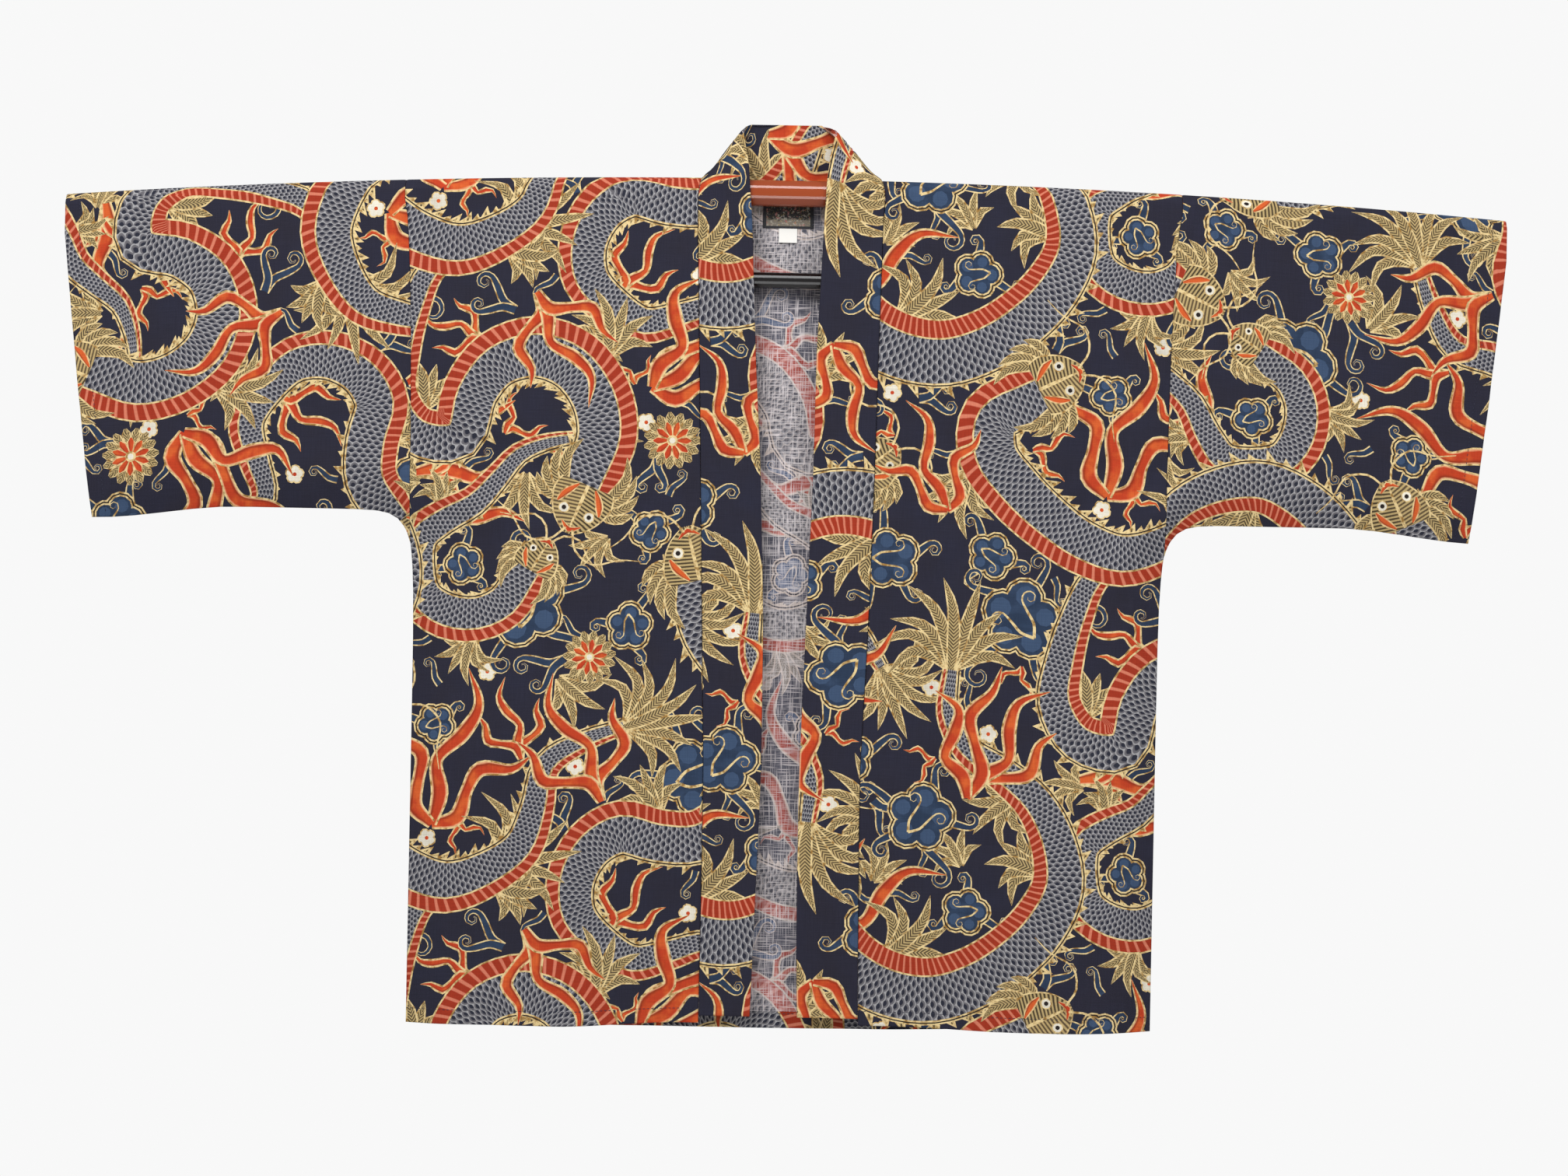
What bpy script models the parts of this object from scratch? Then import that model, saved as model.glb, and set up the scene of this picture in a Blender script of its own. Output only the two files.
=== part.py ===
"""Happi coat hung on a kimono rod.

Every sewn piece is a solid of its own: back, two fronts, two sleeves, the collar band, the
neck label and the size tag. The hanger is an octagonal rod through both sleeves with a thinner
bar under it on two links. Metres, +Z up, the coat's front faces -Y and the wearer's left is +X.
The origin is the middle of the rod, where the hanger is held.
"""

import math
from collections import namedtuple

import bmesh
import bpy
from mathutils import Vector

# Cloth
WALL = 0.0012                # one layer of slub cotton, with its nap
BAND = 0.0024                # the collar band is doubled
SEAM_GAP = 0.0003            # between two sewn pieces
SHOULDER_EASE = 0.0008       # the fronts end this far from the collar on the shoulder
SEAM_LIP = 0.0035            # a sleeve's lower seam: its inside ends this far above its outside
LABEL_WALL = 0.0008
TURN_UP = 0.0150             # hem and cuff turned once to the inside
TURN_WALL = 0.0010           # how much the turned edge adds to the inside
TURN_EDGE = 0.0004           # height of the turned edge's step
TURN_FADE = 3.0              # how soon the turned edge has its full wall beside a seam
EDGE_SHARE = 0.6             # the band's folded edge is this much of its thickness

# Rod and hanger
ROD_APOTHEM = 0.0120         # centre to flat of the octagon
ROD_HALF_LENGTH = 0.5650
ROD_CLEARANCE = 0.0003
BOW_DROP = 0.0270            # how far the rod and sleeves have sunk at BOW_REACH
BOW_REACH = 0.680
OCTAGON = math.tan(math.radians(22.5))
EDGE_ROUND = 0.0012          # half width of the rounding cut along the rod's edges

LOWER_BAR_APOTHEM = 0.00735
LOWER_BAR_Z = -0.0822
LOWER_BAR_HALF_LENGTH = 0.150
LINK_HALF_WIDTH = 0.0060
LINK_HALF_DEPTH = 0.0050
LINK_INSET = 0.0020          # from the bar's end
ROD_LEVEL_HALF = 0.0500      # the rod is level over its middle, and bowed from there
ROD_STEPS = 9

# Coat outline
SHOULDER_HALF = 0.3660       # middle of the coat to the armhole seam, at the shoulder
ARMHOLE_HALF = 0.3560        # the same, lower down the armhole
ARMHOLE_FADE = 0.090
SIDE_HALF = 0.3517           # middle of the coat to the side seam
UNDERARM_Z = -0.3360
UNDERARM_FADE = 0.0300       # how fast the curve under the arm runs into the side seam
HEM_RISE = 0.0065            # the fronts end higher beside the opening
HEM_RISE_START = 0.2150
HEM_RISE_FULL = 0.0900
COLLAR_RISE = 0.0135         # the collar band ends this far above the back's hem

SLEEVE_BOTTOM_Z = -0.3060
SLEEVE_SAG = 0.0125          # extra drop of the sleeve's lower edge at the cuff
SLEEVE_SAG_START = 0.5200
SLEEVE_SAG_FULL = 0.6550
SLEEVE_FADE = 0.0095         # how fast the curve under the arm runs into the sleeve
SLEEVE_DIFFERENCE = 0.0070   # the wearer's right sleeve hangs this much longer, the left shorter
CUFF_FLATTEN = 0.35          # past the rod's end the sleeve flattens by this share

# Depth of the hanging coat
HANG_DEPTH = 0.0115          # middle plane to a panel's middle, below the rod
HANG_START = 0.0200          # the panels fall from the rod's depth to that one from here
HANG_FADE = 0.2500           # over this height
FOLD_START = 0.0100          # the folds begin this far below the rod's middle
FOLD_FADE = 0.0800
CLOSE_WIDTH = 0.0450         # over this width front and back run together at a closed seam

# Neck
NECK_SEAM_SHIFT = -0.0020    # the neck hangs slightly towards the wearer's right
NECK_EDGE_SHIFT = -0.0055
NECK_SHIFT_FADE = 0.0600     # the back's columns lose that shift over this width
NECK_SEAM_EASE = 0.0010      # the back ends this far short of the collar, along the cloth

Cuff = namedtuple("Cuff", "z x")
CUFF_ROWS = (
    Cuff(0.0200, 0.6795),
    Cuff(-0.0520, 0.6795),
    Cuff(-0.0960, 0.6750),
    Cuff(-0.1840, 0.6658),
    Cuff(-0.2730, 0.6555),
    Cuff(-0.3250, 0.6495),
)

Hem = namedtuple("Hem", "x z")
HEM_ROWS = (
    Hem(-0.3520, -0.7895),
    Hem(0.0000, -0.7902),
    Hem(0.1000, -0.7895),
    Hem(0.1700, -0.7873),
    Hem(0.2800, -0.7877),
    Hem(0.3520, -0.7845),
)

# Collar band on the fronts: its seam and its free edge, right and left of the opening.
CollarLine = namedtuple("CollarLine", "z right_seam right_edge left_edge left_seam")
COLLAR_LINES = (
    CollarLine(0.0000, -0.0910, -0.0400, 0.0300, 0.0850),
    CollarLine(-0.1550, -0.0860, -0.0330, 0.0240, 0.0825),
    CollarLine(-0.2580, -0.0830, -0.0265, 0.0233, 0.0812),
    CollarLine(-0.4050, -0.0788, -0.0210, 0.0192, 0.0780),
    CollarLine(-0.5520, -0.0747, -0.0203, 0.0152, 0.0724),
    CollarLine(-0.6990, -0.0747, -0.0245, 0.0156, 0.0740),
    CollarLine(-0.7900, -0.0750, -0.0270, 0.0182, 0.0754),
)

# Collar band round the neck, from the middle of the back to below the shoulder. The seam
# columns are the band's lower edge, the edge columns its free edge, roll is its outward curve.
NeckRow = namedtuple("NeckRow", "seam_x seam_y seam_z edge_x edge_y edge_z roll")
NECK_ROWS = (
    NeckRow(0.0000, 0.0143, 0.0105, 0.0000, 0.0155, 0.0669, 0.0000),
    NeckRow(0.0220, 0.0143, 0.0105, 0.0165, 0.0152, 0.0669, 0.0000),
    NeckRow(0.0400, 0.0141, 0.0107, 0.0300, 0.0135, 0.0668, 0.0010),
    NeckRow(0.0560, 0.0131, 0.0114, 0.0380, 0.0098, 0.0655, 0.0030),
    NeckRow(0.0670, 0.0098, 0.0126, 0.0430, 0.0045, 0.0615, 0.0045),
    NeckRow(0.0755, 0.0052, 0.0136, 0.0435, -0.0020, 0.0550, 0.0040),
    NeckRow(0.0810, 0.0000, 0.0139, 0.0415, -0.0080, 0.0470, 0.0025),
    NeckRow(0.0840, -0.0056, 0.0138, 0.0390, -0.0130, 0.0350, 0.0015),
    NeckRow(0.0864, -0.0137, 0.0056, 0.0370, -0.0158, 0.0190, 0.0005),
    NeckRow(0.0876, -0.0137, -0.0056, 0.0358, -0.0155, 0.0030, 0.0000),
)
SHOULDER_NECK_ROW = 6        # the row that crosses the shoulder line

# Height of the panels' rows below the rod. The row at UNDERARM_Z ends the armhole.
ROW_HEIGHTS = (
    -0.030, -0.065, -0.105, -0.150, -0.195, -0.232, -0.262, -0.286, -0.305, -0.318,
    -0.328, UNDERARM_Z, -0.346, -0.360, -0.385, -0.425, -0.480, -0.540, -0.600, -0.660,
    -0.710, -0.750,
)

# Half of the back's columns at the shoulder. The first six lie under the collar.
BACK_COLUMNS = (
    0.0000, 0.0220, 0.0400, 0.0560, 0.0670, 0.0755, 0.0818, 0.1050, 0.1400, 0.1750, 0.2100,
    0.2450, 0.2780, 0.3060, 0.3280, 0.3450, 0.3580, SHOULDER_HALF,
)
FRONT_COLUMNS = (0.00, 0.10, 0.20, 0.31, 0.42, 0.53, 0.64, 0.74, 0.83, 0.90, 0.95, 0.98, 1.00)
# The last two columns of a sleeve bound its turned-up cuff.
SLEEVE_COLUMNS = (
    0.000, 0.013, 0.030, 0.055, 0.100, 0.190, 0.300, 0.420, 0.540, 0.660, 0.780, 0.880,
    0.951, 0.953, 1.000,
)

# Soft folds: a ridge (depth above 0) or a trough on one face, from its middle point.
FRONT = -1
BACK = 1
Fold = namedtuple("Fold", "face x z angle length width depth")
FOLDS = (
    Fold(FRONT, -0.315, -0.250, -14, 0.110, 0.016, -0.0030),
    Fold(FRONT, -0.312, -0.290, -35, 0.120, 0.017, 0.0026),
    Fold(FRONT, -0.320, -0.345, -52, 0.110, 0.016, -0.0024),
    Fold(FRONT, 0.318, -0.275, 28, 0.120, 0.018, -0.0024),
    Fold(FRONT, 0.322, -0.330, 48, 0.120, 0.017, 0.0022),
    Fold(FRONT, -0.116, -0.090, 88, 0.180, 0.022, 0.0016),
    Fold(FRONT, -0.520, -0.170, 82, 0.220, 0.030, -0.0022),
    Fold(FRONT, 0.470, -0.200, 78, 0.180, 0.028, -0.0018),
    Fold(BACK, -0.318, -0.270, -24, 0.120, 0.018, -0.0026),
    Fold(BACK, -0.320, -0.330, -46, 0.120, 0.017, 0.0022),
    Fold(BACK, 0.316, -0.262, 22, 0.120, 0.018, -0.0026),
    Fold(BACK, 0.320, -0.325, 45, 0.110, 0.017, 0.0024),
    Fold(BACK, 0.040, -0.150, 86, 0.240, 0.030, 0.0016),
    Fold(BACK, -0.500, -0.190, 80, 0.200, 0.030, -0.0020),
    Fold(BACK, 0.505, -0.160, 84, 0.200, 0.030, -0.0020),
)

# Slow waves of the hanging panels: they grow from the rod to the hem.
Wave = namedtuple("Wave", "face length phase depth")
WAVES = (
    Wave(FRONT, 0.265, 0.020, 0.0013),
    Wave(FRONT, 0.152, 0.075, 0.0006),
    Wave(BACK, 0.310, -0.060, 0.0015),
    Wave(BACK, 0.178, 0.030, 0.0007),
)
WAVE_START = -0.100
WAVE_FULL = -0.750

# Neck label and size tag, on the inside of the back
LABEL_MIDDLE_X = -0.0050
LABEL_HALF_WIDTH = 0.0240
LABEL_TOP_Z = -0.0070
LABEL_BOTTOM_Z = -0.0315
TAG_HALF_WIDTH = 0.0086
TAG_BOTTOM_Z = -0.0452
PATCH_STEPS = 4

# Linear base colours
COLOURS = {
    "slub_cotton": (0.024, 0.025, 0.055),
    "woven_label": (0.012, 0.012, 0.014),
    "white_tape": (0.78, 0.77, 0.74),
    "brown_plastic": (0.33, 0.065, 0.022),
    "black_plastic": (0.010, 0.010, 0.011),
}
ROUGHNESS = {
    "slub_cotton": 0.85,
    "woven_label": 0.60,
    "white_tape": 0.70,
    "brown_plastic": 0.22,
    "black_plastic": 0.20,
}


def clear_scene():
    for thing in list(bpy.data.objects):
        bpy.data.objects.remove(thing, do_unlink=True)


def mix(a, b, share):
    return a + (b - a) * share


def ease(value):
    """0 below 0, 1 above 1, and a smooth rise between."""
    value = min(max(value, 0.0), 1.0)
    return value * value * (3.0 - 2.0 * value)


def look_up(rows, key, column, value):
    """A column of a table at a value of its key column, straight between the rows."""
    ordered = sorted(rows, key=lambda row: getattr(row, key))
    if value <= getattr(ordered[0], key):
        return getattr(ordered[0], column)
    for low, high in zip(ordered, ordered[1:]):
        start = getattr(low, key)
        end = getattr(high, key)
        if value <= end:
            share = (value - start) / (end - start)
            return mix(getattr(low, column), getattr(high, column), share)
    return getattr(ordered[-1], column)


def bow(x):
    """How far the rod's middle line lies below its centre at x."""
    return BOW_DROP * (x / BOW_REACH) ** 2


def side_x(z):
    """Half width of the body: the armhole seam, and below it the side seam."""
    if z > UNDERARM_Z:
        return ARMHOLE_HALF + (SHOULDER_HALF - ARMHOLE_HALF) * math.exp(min(z, 0.0) / ARMHOLE_FADE)
    return SIDE_HALF + (side_x(UNDERARM_Z + 1e-6) - SIDE_HALF) * math.exp(
        (z - UNDERARM_Z) / UNDERARM_FADE)


def sleeve_bottom(x):
    """Height of a sleeve's lower edge at the distance x from the coat's middle."""
    corner = (SLEEVE_BOTTOM_Z - UNDERARM_Z) * math.exp(min(ARMHOLE_HALF - x, 0.0) / SLEEVE_FADE)
    sag = SLEEVE_SAG * ease((x - SLEEVE_SAG_START) / (SLEEVE_SAG_FULL - SLEEVE_SAG_START))
    return SLEEVE_BOTTOM_Z - corner - sag


def fold_height(face, x, z):
    """Folds and waves of one face at a point, outward."""
    height = 0.0
    for fold in FOLDS:
        if fold.face != face:
            continue
        turn = math.radians(fold.angle)
        along = (x - fold.x) * math.cos(turn) + (z - fold.z) * math.sin(turn)
        across = (z - fold.z) * math.cos(turn) - (x - fold.x) * math.sin(turn)
        reach = math.exp(-(2.0 * along / fold.length) ** 4)
        height += fold.depth * reach * math.exp(-(across / fold.width) ** 2)
    grow = ease((z - WAVE_START) / (WAVE_FULL - WAVE_START))
    for wave in WAVES:
        if wave.face == face:
            turn = 2.0 * math.pi * (x - wave.phase) / wave.length
            height += wave.depth * grow * math.sin(turn)
    return height


def past_rod(x):
    """Share of its depth that a sleeve keeps: all of it on the rod, less past the rod's end."""
    return 1.0 - CUFF_FLATTEN * ease((abs(x) - ROD_HALF_LENGTH) / (BOW_REACH - ROD_HALF_LENGTH))


def body_closing(x, z):
    """Closing of the body's side seam, or of the armhole towards its lower end."""
    if z > UNDERARM_Z:
        distance = math.hypot(side_x(UNDERARM_Z) - abs(x), z - UNDERARM_Z)
    else:
        distance = side_x(z) - abs(x)
    return closing(distance)


def closing(distance):
    """0 at a closed seam, 1 where front and back hang freely apart."""
    return math.sin(0.5 * math.pi * min(max(distance / CLOSE_WIDTH, 0.0), 1.0))


def panel_depth(face, x, z, closed):
    """Distance from the middle plane to the middle of a panel's cloth."""
    top = ROD_APOTHEM + ROD_CLEARANCE + WALL / 2.0
    hang = mix(top, HANG_DEPTH, ease((-z - HANG_START) / HANG_FADE))
    at_seam = (SEAM_GAP + WALL) / 2.0
    free = hang * past_rod(x) + fold_height(face, x, z) * ease((-z - FOLD_START) / FOLD_FADE)
    return mix(at_seam, free, closed)


def arch(face, x, level, outward):
    """Corner of the cloth laid over the rod: level 0 is the top, 3 the lowest corner."""
    apothem = ROD_APOTHEM + ROD_CLEARANCE + WALL / 2.0 + outward
    corner = apothem * OCTAGON
    corners = ((SEAM_GAP / 2.0, apothem), (corner, apothem), (apothem, corner), (apothem, -corner))
    y, z = corners[level]
    return Vector((x, face * y * past_rod(x), z - bow(x)))


def new_object(name, bm, material, smooth_angle=50.0):
    bmesh.ops.remove_doubles(bm, verts=bm.verts[:], dist=1e-7)
    bmesh.ops.recalc_face_normals(bm, faces=bm.faces[:])
    mesh = bpy.data.meshes.new(name)
    bm.to_mesh(mesh)
    bm.free()
    mesh.materials.append(material)
    mesh.shade_smooth()
    mesh.set_sharp_from_angle(angle=math.radians(smooth_angle))
    piece = bpy.data.objects.new(name, mesh)
    bpy.context.scene.collection.objects.link(piece)
    return piece


def wall_solid(name, outer, inner, material, closed=False):
    """A wall between two grids of points. A closed grid is a tube along its first index."""
    bm = bmesh.new()
    grids = []
    for grid in (outer, inner):
        grids.append([[bm.verts.new(point) for point in row] for row in grid])
    rows = len(outer)
    columns = len(outer[0])
    last = columns if closed else columns - 1
    for grid in grids:
        for i in range(rows - 1):
            for j in range(last):
                k = (j + 1) % columns
                bm.faces.new((grid[i][j], grid[i + 1][j], grid[i + 1][k], grid[i][k]))
    out, into = grids
    for j in range(last):
        k = (j + 1) % columns
        for i in (0, rows - 1):
            bm.faces.new((out[i][j], out[i][k], into[i][k], into[i][j]))
    if not closed:
        for i in range(rows - 1):
            for j in (0, columns - 1):
                bm.faces.new((out[i][j], out[i + 1][j], into[i + 1][j], into[i][j]))
    return new_object(name, bm, material)


def swept_solid(name, rings, material):
    """A solid through closed rings of points, with a flat cap at each end."""
    bm = bmesh.new()
    loops = [[bm.verts.new(point) for point in ring] for ring in rings]
    count = len(rings[0])
    for here, there in zip(loops, loops[1:]):
        for j in range(count):
            k = (j + 1) % count
            bm.faces.new((here[j], here[k], there[k], there[j]))
    bm.faces.new(loops[0])
    bm.faces.new(loops[-1])
    return new_object(name, bm, material)


def inside_step(row, row_count, closed):
    """Extra wall of the turned-up hem, on the last two rows, thinning out at a closed seam."""
    turned = row >= row_count - 2
    return TURN_WALL * ease(closed * TURN_FADE) if turned else 0.0


def panel_rows(hem):
    """Heights of a panel's rows below the rod, ended by the turned-up hem."""
    return ROW_HEIGHTS + (hem + TURN_UP + TURN_EDGE, hem + TURN_UP, hem)


def back_hem(x):
    return look_up(HEM_ROWS, "x", "z", x)


def front_hem(x):
    rise = ease((HEM_RISE_START - abs(x)) / (HEM_RISE_START - HEM_RISE_FULL))
    return back_hem(x) + HEM_RISE * rise


def collar_seam_x(side, z):
    column = "left_seam" if side > 0 else "right_seam"
    return abs(look_up(COLLAR_LINES, "z", column, z))


def neck_seam_x(side, level):
    """Where the collar's seam crosses the cloth over the rod, by the arch's corner."""
    row = NECK_ROWS[SHOULDER_NECK_ROW + level]
    return row.seam_x + side * NECK_SEAM_SHIFT


def build_front(side, material):
    """A front, from the collar's seam to the armhole and side seam. Side is +1 on the left."""
    outer = []
    inner = []
    half_gap = SEAM_GAP / 2.0
    for share in FRONT_COLUMNS:
        out_row = []
        in_row = []
        for level in range(4):
            near = neck_seam_x(side, level) + SHOULDER_EASE
            x = side * mix(near, SHOULDER_HALF - half_gap, share)
            out_row.append(arch(FRONT, x, level, WALL / 2.0))
            in_row.append(arch(FRONT, x, level, -WALL / 2.0))
        heights = panel_rows(front_hem(side * mix(HEM_RISE_FULL, SIDE_HALF, share)))
        for index, z in enumerate(heights):
            x = side * mix(collar_seam_x(side, z) + half_gap, side_x(z) - half_gap, share)
            closed = body_closing(x, z)
            depth = panel_depth(FRONT, x, z, closed)
            step = inside_step(index, len(heights), closed)
            out_row.append(Vector((x, -depth - WALL / 2.0, z)))
            in_row.append(Vector((x, -depth + WALL / 2.0 + step, z)))
        outer.append(out_row)
        inner.append(in_row)
    name = "front_left" if side > 0 else "front_right"
    return wall_solid(name, outer, inner, material)


def back_neck_rows(x, outward):
    """The back's two upper rows where they end under the collar instead of on the shoulder."""
    across = abs(x - NECK_SEAM_SHIFT)
    rows = NECK_ROWS[:SHOULDER_NECK_ROW + 1]
    seam_y = look_up(rows, "seam_x", "seam_y", across) - (BAND - WALL) / 2.0
    seam_z = look_up(rows, "seam_x", "seam_z", across) - SEAM_GAP
    upright = ease(seam_y / ROD_APOTHEM)
    normal = Vector((0.0, upright, 1.0 - upright)).normalized()
    seam = Vector((x, seam_y, seam_z)) + normal * outward
    halfway = seam.lerp(arch(BACK, x, 2, outward), 0.5)
    second = arch(BACK, x, 1, outward).lerp(halfway, upright ** 3)
    first = seam + (second - seam).normalized() * NECK_SEAM_EASE
    return first, second


def build_back(material):
    outer = []
    inner = []
    half_gap = SEAM_GAP / 2.0
    columns = [-x for x in reversed(BACK_COLUMNS[1:])] + list(BACK_COLUMNS)
    neck_half = NECK_ROWS[SHOULDER_NECK_ROW].seam_x
    for column in columns:
        shift = NECK_SEAM_SHIFT * (1.0 - ease((abs(column) - neck_half) / NECK_SHIFT_FADE))
        share = (column + shift) / SHOULDER_HALF
        x = share * (SHOULDER_HALF - half_gap)
        out_row = []
        in_row = []
        for row, outward in ((out_row, WALL / 2.0), (in_row, -WALL / 2.0)):
            row.extend(arch(BACK, x, level, outward) for level in range(4))
            if abs(column) < neck_half:
                row[:2] = back_neck_rows(x, outward)
        heights = panel_rows(back_hem(x))
        for index, z in enumerate(heights):
            x = share * (side_x(z) - half_gap)
            closed = body_closing(x, z)
            depth = panel_depth(BACK, x, z, closed)
            step = inside_step(index, len(heights), closed)
            out_row.append(Vector((x, depth + WALL / 2.0, z)))
            in_row.append(Vector((x, depth - WALL / 2.0 - step, z)))
        outer.append(out_row)
        inner.append(in_row)
    return wall_solid("back", outer, inner, material)


def sleeve_point(side, share, face, z_share, outward):
    """A point of a sleeve: share runs from the armhole to the cuff, z_share down the face."""
    extra = -side * SLEEVE_DIFFERENCE
    top_x = mix(SHOULDER_HALF, CUFF_ROWS[0].x + extra, share)
    low_x = mix(side_x(UNDERARM_Z), CUFF_ROWS[-1].x + extra, share)
    top_z = arch(face, top_x, 3, 0.0).z
    low_z = UNDERARM_Z if share == 0.0 else sleeve_bottom(low_x)
    z = mix(top_z, low_z, z_share)
    cuff = look_up(CUFF_ROWS, "z", "x", z) + extra
    x = mix(side_x(z) + SEAM_GAP / 2.0, cuff, share)
    closed = closing(z - low_z)
    depth = panel_depth(face, side * x, z, closed)
    return Vector((side * x, face * (depth + outward), z))


def build_sleeve(side, material):
    """A sleeve: one cloth folded over the rod, seamed along its lower edge."""
    extra = -side * SLEEVE_DIFFERENCE
    top_corner = arch(FRONT, SHOULDER_HALF, 3, 0.0).z
    drops = [z for z in ROW_HEIGHTS if z >= UNDERARM_Z]
    shares = [(top_corner - z) / (top_corner - UNDERARM_Z) for z in drops]
    outer = []
    inner = []
    for index, share in enumerate(SLEEVE_COLUMNS):
        turned = TURN_WALL if index >= len(SLEEVE_COLUMNS) - 2 else 0.0
        x = side * (mix(SHOULDER_HALF + SEAM_GAP / 2.0, CUFF_ROWS[0].x + extra, share))
        rings = []
        for outward in (WALL / 2.0, -WALL / 2.0 - turned):
            half = {}
            for face in (FRONT, BACK):
                points = [arch(face, x, level, outward) for level in range(1, 4)]
                points += [sleeve_point(side, share, face, down, outward) for down in shares]
                if outward < 0.0:
                    points[-1].y = face * SEAM_GAP
                    points[-1].z += SEAM_LIP
                    points[-2].y = face * max(abs(points[-2].y), 2.0 * SEAM_GAP)
                half[face] = points
            top = arch(FRONT, x, 0, outward)
            top.y = 0.0
            rings.append([top] + half[FRONT] + list(reversed(half[BACK])))
        outer.append(rings[0])
        inner.append(rings[1])
    name = "sleeve_left" if side > 0 else "sleeve_right"
    return wall_solid(name, outer, inner, material, closed=True)


def neck_station(side, row):
    """Seam point, free edge and roll of the band at a neck row."""
    seam = Vector((side * row.seam_x + NECK_SEAM_SHIFT, row.seam_y, row.seam_z))
    edge = Vector((side * row.edge_x + NECK_EDGE_SHIFT, row.edge_y, row.edge_z))
    return seam, edge, row.roll


def front_station(side, z):
    """Seam point and free edge of the band on a front."""
    names = ("left_seam", "left_edge") if side > 0 else ("right_seam", "right_edge")
    seam_x, edge_x = (look_up(COLLAR_LINES, "z", name, z) for name in names)
    seam_x -= side * SEAM_GAP / 2.0
    lift = (BAND - WALL) / 2.0
    points = []
    for x in (seam_x, edge_x):
        depth = panel_depth(FRONT, x, z, 1.0) + lift
        points.append(Vector((x, -depth, z)))
    return points[0], points[1], 0.0


def collar_stations():
    """The band from the right front's hem, round the neck, to the left front's hem."""
    end = back_hem(0.0) + COLLAR_RISE
    halves = []
    for side in (-1, 1):
        half = [neck_station(side, row) for row in NECK_ROWS]
        half += [front_station(side, z) for z in ROW_HEIGHTS + (end,)]
        halves.append(half)
    return list(reversed(halves[0])) + halves[1][1:]


def build_collar(material):
    stations = collar_stations()
    widths = (0.0, 0.35, 0.7, 1.0)
    rings = []
    for index, (seam, edge, roll) in enumerate(stations):
        before = stations[max(index - 1, 0)]
        after = stations[min(index + 1, len(stations) - 1)]
        along = (after[0] + after[1] - before[0] - before[1]).normalized()
        normal = (edge - seam).normalized().cross(along).normalized()
        faces = {}
        for sign in (1.0, -1.0):
            points = []
            for width in widths:
                bulge = roll * 4.0 * width * (1.0 - width)
                half = BAND / 2.0 * (EDGE_SHARE if width == 1.0 else 1.0)
                points.append(seam.lerp(edge, width) + normal * (bulge + sign * half))
            faces[sign] = points
        rings.append(faces[1.0] + list(reversed(faces[-1.0])))
    return swept_solid("collar", rings, material)


def octagon_ring(x, apothem, drop):
    """An octagon across the rod, each corner cut by a small rounding."""
    ring = []
    cut = EDGE_ROUND / apothem
    radius = apothem / math.cos(math.radians(22.5) - cut)
    for index in range(8):
        for turn in (-cut, cut):
            angle = math.radians(22.5 + 45.0 * index) + turn
            ring.append(Vector((x, radius * math.cos(angle), radius * math.sin(angle) - drop)))
    return ring


def build_rod(material):
    half = [mix(ROD_LEVEL_HALF, ROD_HALF_LENGTH, step / ROD_STEPS) for step in range(ROD_STEPS + 1)]
    places = [-x for x in reversed(half)] + half
    rings = [octagon_ring(x, ROD_APOTHEM, bow(x)) for x in places]
    return swept_solid("rod", rings, material)


def build_lower_bar(material):
    drop = -LOWER_BAR_Z
    places = (-LOWER_BAR_HALF_LENGTH, LOWER_BAR_HALF_LENGTH)
    rings = [octagon_ring(x, LOWER_BAR_APOTHEM, drop) for x in places]
    return swept_solid("lower_bar", rings, material)


def build_link(side, material):
    """A flat link that carries the lower bar under the rod."""
    x = side * (LOWER_BAR_HALF_LENGTH - LINK_HALF_WIDTH - LINK_INSET)
    top = -ROD_APOTHEM - bow(abs(x) + LINK_HALF_WIDTH) - ROD_CLEARANCE
    bottom = LOWER_BAR_Z + LOWER_BAR_APOTHEM + ROD_CLEARANCE
    rings = []
    for z in (top, bottom):
        rings.append([Vector((x + a * LINK_HALF_WIDTH, b * LINK_HALF_DEPTH, z))
                      for a, b in ((-1, -1), (1, -1), (1, 1), (-1, 1))])
    name = "link_left" if side > 0 else "link_right"
    return swept_solid(name, rings, material)


def inside_patch(name, middle, half_width, top, bottom, material):
    """A flat patch on the inside of the back, made from the back's own points, moved out."""
    outer = []
    inner = []
    for i in range(PATCH_STEPS + 1):
        x = middle + half_width * (2.0 * i / PATCH_STEPS - 1.0)
        out_row = []
        in_row = []
        for z in (top, (top + bottom) / 2.0, bottom):
            face = panel_depth(BACK, x, z, 1.0) - WALL / 2.0 - SEAM_GAP
            out_row.append(Vector((x, face, z)))
            in_row.append(Vector((x, face - LABEL_WALL, z)))
        outer.append(out_row)
        inner.append(in_row)
    return wall_solid(name, outer, inner, material)


def make_material(name):
    material = bpy.data.materials.new(name)
    material.use_nodes = True
    shader = material.node_tree.nodes["Principled BSDF"]
    shader.inputs["Base Color"].default_value = COLOURS[name] + (1.0,)
    shader.inputs["Roughness"].default_value = ROUGHNESS[name]
    shader.inputs["Metallic"].default_value = 0.0
    return material


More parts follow.
